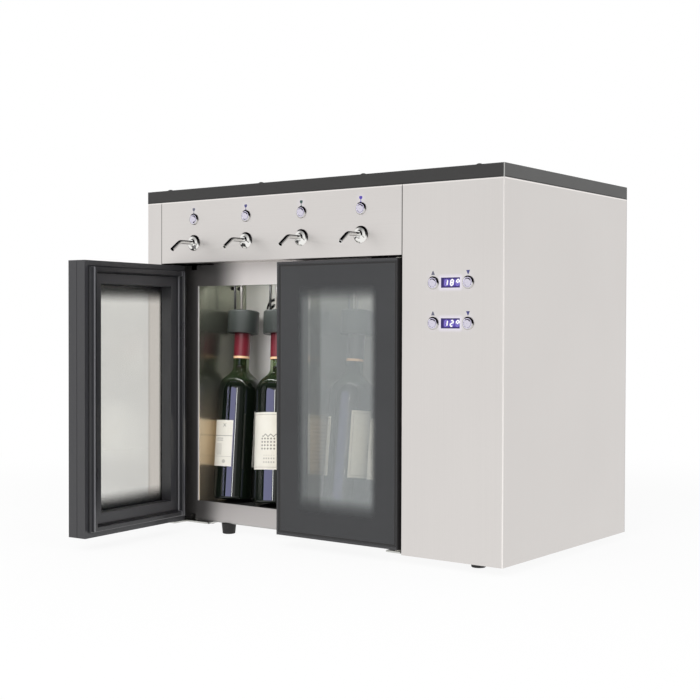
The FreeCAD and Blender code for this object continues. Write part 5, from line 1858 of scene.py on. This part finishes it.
@dataclass
class Taps:
    """The chrome spouts, and the buttons with their glass signs on the fascia."""

    buttons: tuple[str, ...] = tuple(f"tap_button_{number}" for number in range(1, 5))
    signs: tuple[Finish, ...] = (SIGN_GREY, SIGN_BLUE, SIGN_GREEN, SIGN_VIOLET)
    sign_rise: float = 14.2 * MM
    sign_height: float = 9 * MM
    bowl_share: float = 0.56
    bowl_straight: float = 0.35
    bowl_steps: int = 8
    bowl_half: float = 2.9 * MM
    mouth_half: float = 2.378 * MM
    stem_half: float = 0.45 * MM
    foot_half: float = 2.0 * MM
    foot_edge: float = 0.45 * MM
    sign_proud: float = 0.08 * MM
    sign_sunk: float = 0.02 * MM
    halo_size: Point = mm(1, 9)
    halo_reach: float = 11 * MM
    halo_level: float = 0.035
    halo_step: float = 0.012

    def build(self) -> None:
        """Dress the taps and lay the signs on the fascia."""
        dress(SPOUT_CHROME, "spouts")
        dress(RIM_CHROME, "tap_flanges")
        dress(CAP_CHROME, *self.buttons)
        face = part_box("fascia_panel")[0].y
        for number, (button, finish) in enumerate(zip(self.buttons, self.signs), start=1):
            centre = middle(button)
            seat = Matrix.Translation((centre.x, face, centre.z + self.sign_rise))
            solid = Solid()
            solid.prism(self._glass_outline(), -self.sign_proud, self.sign_sunk, seat)
            solid.piece(f"glass_sign_{number}", "button_light", finish)

    def _glass_outline(self) -> list[Point]:
        """The outline of a stemmed glass.

        Returns:
            Its corners, about its middle.
        """
        top, bowl = self.sign_height / 2, self.bowl_share * self.sign_height
        straight = self.bowl_straight
        side = [(self.mouth_half, top)]
        for step in range(self.bowl_steps):
            angle = math.pi / 2 * step / self.bowl_steps
            drop = straight + (1 - straight) * math.sin(angle)
            side.append((self.bowl_half * math.cos(angle), top - bowl * drop))
        side += [(self.stem_half, top - bowl), (self.stem_half, 2 * self.foot_edge - top),
                 (self.foot_half, self.foot_edge - top), (self.foot_half, -top)]
        return side + [(-x, z) for x, z in reversed(side)]

    def halos(self) -> tuple[Halo, ...]:
        """The painted glow round each button and its sign.

        Returns:
            One halo for each button, brighter towards the right.
        """
        return tuple(Halo(middle(button).x, middle(button).z + 0.5 * self.sign_rise,
                          *self.halo_size, self.halo_reach,
                          self.halo_level + self.halo_step * number)
                     for number, button in enumerate(self.buttons, start=1))


# ---------------------------------------------------------------- controls

SEGMENTS = {"1": "bc", "2": "abged", "8": "abcdefg", "o": "abgf"}


@dataclass
class Controls:
    """The two displays on the tower, with a button each side of them."""

    displays: tuple[str, str] = ("upper", "lower")
    readings: tuple[str, str] = ("18o", "12o")
    buttons: tuple[str, ...] = ("upper_raise_button", "upper_lower_button",
                                "lower_raise_button", "lower_lower_button")
    sign_rise: float = 14.4 * MM
    sign_half: float = 3.1 * MM
    sign_tip: float = 0.16
    sign_height: float = 6 * MM
    sign_proud: float = 0.08 * MM
    sign_sunk: float = 0.02 * MM
    digit_width: float = 6.6 * MM
    digit_height: float = 10.4 * MM
    digit_pitch: float = 9.9 * MM
    digit_shift: float = 2.5 * MM
    digit_lean: float = 0.14
    digit_proud: float = 0.07 * MM
    stroke: float = 2.3 * MM
    stroke_gap: float = 0.02 * MM
    pane_reach: float = 7 * MM
    pane_level: float = 0.22
    button_rise: float = 2 * MM
    button_halo: Triple = mm(2, 7, 12)
    button_level: float = 0.05

    def build(self, taps: Taps) -> None:
        """Dress the buttons and displays, and add the signs and digits.

        Args:
            taps: the taps, whose buttons have the same bezels.
        """
        spots = tuple((middle(name).x, middle(name).z) for name in self.buttons + taps.buttons)
        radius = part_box("button_housings")[1].z - max(z for _, z in spots)
        dress(Bezel("bezel_finish", spots, radius), "button_housings")
        dress(RING_PLASTIC, "button_light_rings")
        dress(CAP_CHROME, *self.buttons)
        dress(CircuitBoard("circuit_board_finish"), "control_board")
        x, half_width, rows, half_height = self._panes()
        dress(DisplayPane("display_pane_finish", x, half_width, rows, half_height),
              "display_lenses")
        self._arrows()
        for name, reading, row in zip(self.displays, self.readings, rows):
            self._digits(name, reading, x + self.digit_shift, row)

    def _panes(self) -> tuple[float, float, tuple[float, float], float]:
        """Where the display panes are.

        Returns:
            Their middle and half-width in X, their heights with the upper one first, and
            half of a pane's height.
        """
        low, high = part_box("display_lenses")
        rows = (middle(self.buttons[0]).z, middle(self.buttons[2]).z)
        return (low.x + high.x) / 2, (high.x - low.x) / 2, rows, high.z - rows[0]

    def _arrows(self) -> None:
        """Lay an arrow over each button: up on the left, down on the right."""
        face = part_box("side_panel_right")[0].y
        half, tip = self.sign_half, self.sign_tip * self.sign_half
        for name in self.buttons:
            up, finish = (1, SIGN_GREY) if "raise" in name else (-1, SIGN_BLUE)
            tall = up * self.sign_height / 2
            seat = middle(name)
            solid = Solid()
            solid.prism([(-half, -tall), (half, -tall), (tip, tall), (-tip, tall)],
                        -self.sign_proud, self.sign_sunk,
                        Matrix.Translation((seat.x, face, seat.z + self.sign_rise)))
            solid.piece(name.replace("_button", "_arrow"), "button_light", finish)

    def _strokes(self) -> dict[str, list[Point]]:
        """The outlines of a digit's seven strokes.

        Returns:
            Each stroke's corners, about the digit's middle.
        """
        half = self.stroke / 2
        right, top = self.digit_width / 2 - half, self.digit_height / 2 - half
        end, flat = right - self.stroke_gap, right - half - self.stroke_gap
        level = [(-end, 0.0), (-flat, half), (flat, half), (end, 0.0), (flat, -half),
                 (-flat, -half)]
        bar = [(-flat, half), (flat, half), (flat, -half), (-flat, -half)]
        foot, shoulder = self.stroke_gap, top - half
        upright = [(half, foot), (half, shoulder), (0.0, shoulder + half), (-half, shoulder),
                   (-half, foot)]
        moved = {"a": (level, 0.0, top, 1), "g": (bar, 0.0, 0.0, 1), "d": (level, 0.0, -top, 1),
                 "b": (upright, right, 0.0, 1), "f": (upright, -right, 0.0, 1),
                 "c": (upright, right, 0.0, -1), "e": (upright, -right, 0.0, -1)}
        outlines = {}
        for name, (outline, across, up, turn) in moved.items():
            placed = [(x + across, turn * z + up) for x, z in outline]
            outlines[name] = [(x + self.digit_lean * z, z) for x, z in placed]
        return outlines

    def _digits(self, name: str, reading: str, x: float, z: float) -> None:
        """Add the lit and unlit strokes of one display.

        Args:
            name: which display.
            reading: what it shows; "o" is the degree sign.
            x: middle of the digits.
            z: the display's height.
        """
        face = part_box("display_lenses")[0].y
        lit, unlit = Solid(), Solid()
        for index, digit in enumerate(reading):
            seat = Matrix.Translation((x + (index - 1) * self.digit_pitch, face, z))
            for stroke, outline in self._strokes().items():
                solid = lit if stroke in SEGMENTS[digit] else unlit
                solid.prism(outline, -self.digit_proud, self.sign_sunk, seat)
        lit.piece(f"{name}_digits_lit", "display_lens", DIGIT_LIT)
        unlit.piece(f"{name}_digits_unlit", "display_lens", DIGIT_UNLIT)

    def halos(self) -> tuple[Halo, ...]:
        """The painted glow round the displays and the buttons beside them.

        Returns:
            One halo for each display, then one for each button.
        """
        x, half_width, rows, half_height = self._panes()
        panes = [Halo(x, row, half_width, half_height, self.pane_reach, self.pane_level)
                 for row in rows]
        rounds = [Halo(middle(name).x, middle(name).z + self.button_rise, *self.button_halo,
                       self.button_level) for name in self.buttons]
        return (*panes, *rounds)


# ---------------------------------------------------------------- bottles

@dataclass
class Bottle:
    """One bottle, which leans back on its heel.

    Attributes:
        number: its number from the left.
        wall: X of its bay's left wall.
        foot: X of its foot from that wall.
        label_turn: the bearing that its front label faces, in degrees.
        design: the front label's print.
        swing: how far it leans to the left, in degrees.
        foil: its capsule's finish.
        front_tall: the front label's height.
        band: the gold band's heights and how far it stands out at each.
    """

    number: int
    wall: float
    foot: float
    label_turn: float
    design: Print = Print.VINES
    swing: float = 0.0
    foil: Finish = CAPSULE_FOIL
    front_tall: float = 96 * MM
    rear_tall: float = 96 * MM
    front_wrap: float = 140.0
    rear_wrap: float = 100.0
    label_low: float = 56 * MM
    label_steps: int = 36
    paste: float = 0.05 * MM
    paper: float = 0.2 * MM
    lean: float = 6.4
    depth: float = 86 * MM
    radius: float = 37 * MM
    heel: float = 5 * MM
    standing_gap: float = 0.1 * MM
    neck: float = 13.85 * MM
    neck_steps: int = 72
    foil_low: float = 248.2 * MM
    foil_high: float = 297 * MM
    foil_thick: float = 0.35 * MM
    ridges: tuple[int, float] = (24, 0.03 * MM)
    band_low: float = 244 * MM
    band: tuple[Point, ...] = (mm(0, 0.4), mm(0.8, 0.6), mm(1.7, 0.4), mm(2.6, 0.6), mm(4, 0.4))

    def place(self) -> Matrix:
        """Where the bottle's foot stands, and how it leans.

        Returns:
            The place of its foot's middle, with Z up its axis.
        """
        tilt = math.radians(math.hypot(self.swing, self.lean))
        rise = (self.radius - self.heel) * math.sin(tilt) + self.heel * (math.cos(tilt) - 1)
        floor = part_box("liner_floor")[1].z
        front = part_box("side_panel_left")[0].y
        foot = (self.wall + self.foot, front + self.depth, floor + self.standing_gap + rise)
        axis = Vector((-self.lean, -self.swing, 0)).normalized()
        return Matrix.Translation(foot) @ Matrix.Rotation(tilt, 4, axis)

    def build(self) -> None:
        """Put on the labels and the capsule."""
        self._label("front", self.design, self.label_turn, self.front_wrap, self.front_tall)
        self._label("rear", Print.NOTES, self.label_turn + 180, self.rear_wrap, self.rear_tall)
        self._capsule()

    def _label(self, name: str, design: Print, turn: float, wrap: float, tall: float) -> None:
        """Paste on a thin paper label.

        Args:
            name: front or rear.
            design: its print.
            turn: the bearing that it faces, in degrees.
            wrap: how far it goes round, in degrees.
            tall: its height.
        """
        inner = self.radius + self.paste
        outer = inner + self.paper
        solid = Solid()
        solid.wrap((inner, outer), (self.label_low, self.label_low + tall),
                   (math.radians(turn - wrap / 2), math.radians(turn + wrap / 2)), self.place(),
                   self.label_steps)
        finish = LabelPaper(f"label_{design.value}_{round(tall / MM)}_finish",
                            math.radians(wrap) * outer, tall, design)
        label = solid.piece(f"bottle_{self.number}_{name}_label", "label_paper", finish,
                            smooth=True)
        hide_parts("bottle_labels")

    def _capsule(self) -> None:
        """Put the foil sleeve on the neck, with a gold band at its lower end."""
        inner, low = self.neck, self.band_low
        outer = inner + self.foil_thick
        sleeve = [(inner, self.foil_low), (outer, self.foil_low), (outer, self.foil_high),
                  (inner, self.foil_high)]
        band = [(inner, low), *((inner + out, low + up) for up, out in self.band),
                (inner, low + self.band[-1][0])]
        solid = Solid()
        solid.lathe(sleeve, self.place(), self.neck_steps, ridges=self.ridges)
        solid.lathe(band, self.place(), self.neck_steps, finish=1)
        capsule = solid.piece(f"bottle_{self.number}_capsule", "capsule_foil", self.foil,
                              CAPSULE_GOLD, smooth=True)
        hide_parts("bottle_capsules")


@dataclass
class Cellar:
    """The four bottles, their dispensing heads and their tubes."""

    fill_level: float = 232 * MM
    clear_below: float = 26 * MM
    clear_above: float = 4 * MM

    def build(self) -> None:
        """Dress the glass, heads and tubes, and finish each bottle."""
        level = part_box("liner_floor")[1].z + self.fill_level
        dress(BottleGlass("green_glass_finish", level - self.clear_below,
                          level + self.clear_above), "bottle_glass")
        dress(WINE, "bottle_wine")
        dress(HEAD_PLASTIC, "dispensing_heads")
        dress(PLUG_RUBBER, "head_stoppers")
        dress(TUBE_DARK, "gas_tubes")
        dress(TUBE_GREY, "wine_tubes")
        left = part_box("liner_side_walls")[0].x + sheet_gauge()
        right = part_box("divider")[1].x
        for bottle in (
                Bottle(1, left, foot=45 * MM, label_turn=-131, design=Print.RULES, swing=1.8,
                       front_tall=79 * MM),
                Bottle(2, left, foot=138 * MM, label_turn=-73, swing=3.8),
                Bottle(3, right, foot=45.4 * MM, label_turn=17, foil=CAPSULE_SLATE,
                       front_tall=108 * MM),
                Bottle(4, right, foot=130.4 * MM, label_turn=-105, foil=CAPSULE_SLATE)):
            bottle.build()


# ---------------------------------------------------------------- studio

@dataclass(frozen=True)
class Lamp:
    """A rectangular lamp that the camera doesn't see.

    Attributes:
        name: its name.
        place: where it stands.
        size: its width and height.
        power: its power in watts.
        colour: its colour.
    """

    name: str
    place: Triple
    size: Point
    power: float
    colour: Colour = WHITE

    AIM = (-0.1, 0.0, 0.3)

    def stand(self, turn: "Euler | None" = None) -> bpy.types.Object:
        """Set up the lamp.

        Args:
            turn: how it is turned, or None to aim it at the dispenser.

        Returns:
            The lamp's object.
        """
        lamp = bpy.data.lights.new(self.name, "AREA")
        lamp.shape = "RECTANGLE"
        lamp.size, lamp.size_y = self.size
        lamp.energy = self.power
        lamp.color = self.colour
        made = bpy.data.objects.new(self.name, lamp)
        made.location = self.place
        if turn is None:
            way = Vector(self.AIM) - Vector(self.place)
            turn = way.to_track_quat("-Z", "Y").to_euler()
        made.rotation_euler = turn
        made.visible_camera = False
        bpy.context.scene.collection.objects.link(made)
        return made


@dataclass
class Studio:
    """The pale floor, the soft light and the camera."""

    camera_place: Triple = (1.24339, -1.74948, 0.35481)
    heading: float = 36.825
    dip: float = 1.116
    roll: float = 0.171
    focal_length: float = 65.13
    sensor_width: float = 36.0
    floor_radius: float = 9.0
    floor_steps: int = 96
    soft_level: float = 0.62
    soft_lamps: tuple[Lamp, ...] = (Lamp("key_lamp", (0.4, -3.4, 2.3), (2.6, 2.6), 88.0),
                                    Lamp("fill_lamp", (3.4, -0.6, 1.9), (2.2, 2.2), 30.0))
    glass_lamps: tuple[Lamp, ...] = (
        Lamp("band_lamp", (-0.30, -2.10, 0.55), (1.9, 0.95), 28.0, tone(190, 190, 255)),
        Lamp("edge_lamp", (0.72, -1.95, 0.55), (0.07, 0.95), 6.0))
    bay_powers: Point = (0.14, 0.08)
    bay_lamp_share: float = 0.9
    bay_lamp_width: float = 12 * MM
    bay_lamp_depth: float = 12 * MM
    bay_lamp_drop: float = 6 * MM
    bay_lamp_tilt: float = 34.0
    ceiling_heights: Point = (0.38, 0.54)
    side_bearings: Triple = (40.0, 100.0, 6.0)
    side_level: float = 0.85
    dark_side: Colour = (0.03, 0.03, 0.035)

    def build(self) -> None:
        """Set up everything round the dispenser."""
        scene = bpy.context.scene
        scene.view_settings.view_transform = "Standard"
        self._camera(scene)
        self._floor(scene)
        self._world(scene)
        for lamp in self.soft_lamps:
            lamp.stand().visible_glossy = False
        self._bay_lamps()
        glass = bpy.data.collections.new("glass_lamp_subjects")
        glass.objects.link(frame["nodes"]["bottle_glass"])
        for lamp in self.glass_lamps:
            lamp.stand().light_linking.receiver_collection = glass

    def _bay_lamps(self) -> None:
        """Hang a strip lamp under the ceiling of each bay, behind the header."""
        low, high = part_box("liner_back_wall")
        divider_low, divider_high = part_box("divider")
        bays = (("left", low.x, divider_low.x), ("right", divider_high.x, high.x))
        tilt = Euler((math.radians(self.bay_lamp_tilt), 0.0, 0.0))
        for (name, left, right), power in zip(bays, self.bay_powers):
            place = ((left + right) / 2, divider_low.y + self.bay_lamp_depth,
                     high.z - self.bay_lamp_drop)
            size = (self.bay_lamp_share * (right - left), self.bay_lamp_width)
            Lamp(f"{name}_bay_lamp", place, size, power).stand(tilt)

    def _camera(self, scene: bpy.types.Scene) -> None:
        """Stand the camera at the front's right.

        Args:
            scene: the scene that it is the camera of.
        """
        lens = bpy.data.cameras.new("camera")
        lens.lens = self.focal_length
        lens.sensor_width = self.sensor_width
        lens.dof.use_dof = False
        camera = bpy.data.objects.new("camera", lens)
        camera.location = self.camera_place
        camera.rotation_euler = (math.radians(90 - self.dip), math.radians(-self.roll),
                                 math.radians(self.heading))
        scene.collection.objects.link(camera)
        scene.camera = camera

    def _floor(self, scene: bpy.types.Scene) -> None:
        """Lay a wide pale floor.

        Args:
            scene: the scene that it goes in.
        """
        form = bmesh.new()
        bmesh.ops.create_circle(form, cap_ends=True, segments=self.floor_steps,
                                radius=self.floor_radius)
        mesh = bpy.data.meshes.new("floor")
        form.to_mesh(mesh)
        form.free()
        mesh.materials.append(FloorPaint("floor_finish").material())
        floor = bpy.data.objects.new("floor", mesh)
        scene.collection.objects.link(floor)

    def _world(self, scene: bpy.types.Scene) -> None:
        """Make it white all round, with a dark ceiling and a dark side for gloss.

        Args:
            scene: the scene that the world belongs to.
        """
        world = bpy.data.worlds.new("studio")
        world.use_nodes = True
        scene.world = world
        graph = Graph(world.node_tree)
        way = graph.add("ShaderNodeTexCoord", {}, {}, "Generated")
        bearing = graph.add("ShaderNodeMath", {"operation": "ARCTAN2"},
                            {0: way.part("X"), 1: 0.0 - way.part("Y")})
        side = bearing.span(*(math.radians(angle) for angle in self.side_bearings))
        dark = way.part("Z").rise(*self.ceiling_heights).most(side * self.side_level)
        mirrored = graph.blend(dark, WHITE, self.dark_side)
        colour = graph.blend(graph.ray("Glossy"), (self.soft_level,) * 3, mirrored)
        plain = graph.ray("Camera").most(graph.ray("Transmission"))
        background = graph.add("ShaderNodeBackground", {},
                               {"Color": graph.blend(plain, colour, WHITE), "Strength": 1.0})
        graph.add("ShaderNodeOutputWorld", {}, {"Surface": background})


def main() -> None:
    """Build and dress the whole dispenser, in order."""
    logging.basicConfig(level=logging.INFO, format="%(name)s: %(message)s")
    taps, controls = Taps(), Controls()
    Casing().build(controls, taps)
    Cavity().build()
    Door(Side.LEFT, near=21 * MM, near_fade=8 * MM, low=32 * MM, gloss=0.15, blur=0.24,
         bare_to=56 * MM).build()
    Door(Side.RIGHT, near=43 * MM, near_fade=16 * MM, low=38 * MM, gloss=0.19, blur=0.03,
         bare_from=155 * MM).build()
    taps.build()
    controls.build(taps)
    Cellar().build()
    Studio().build()


if __name__ == "__main__":
    main()
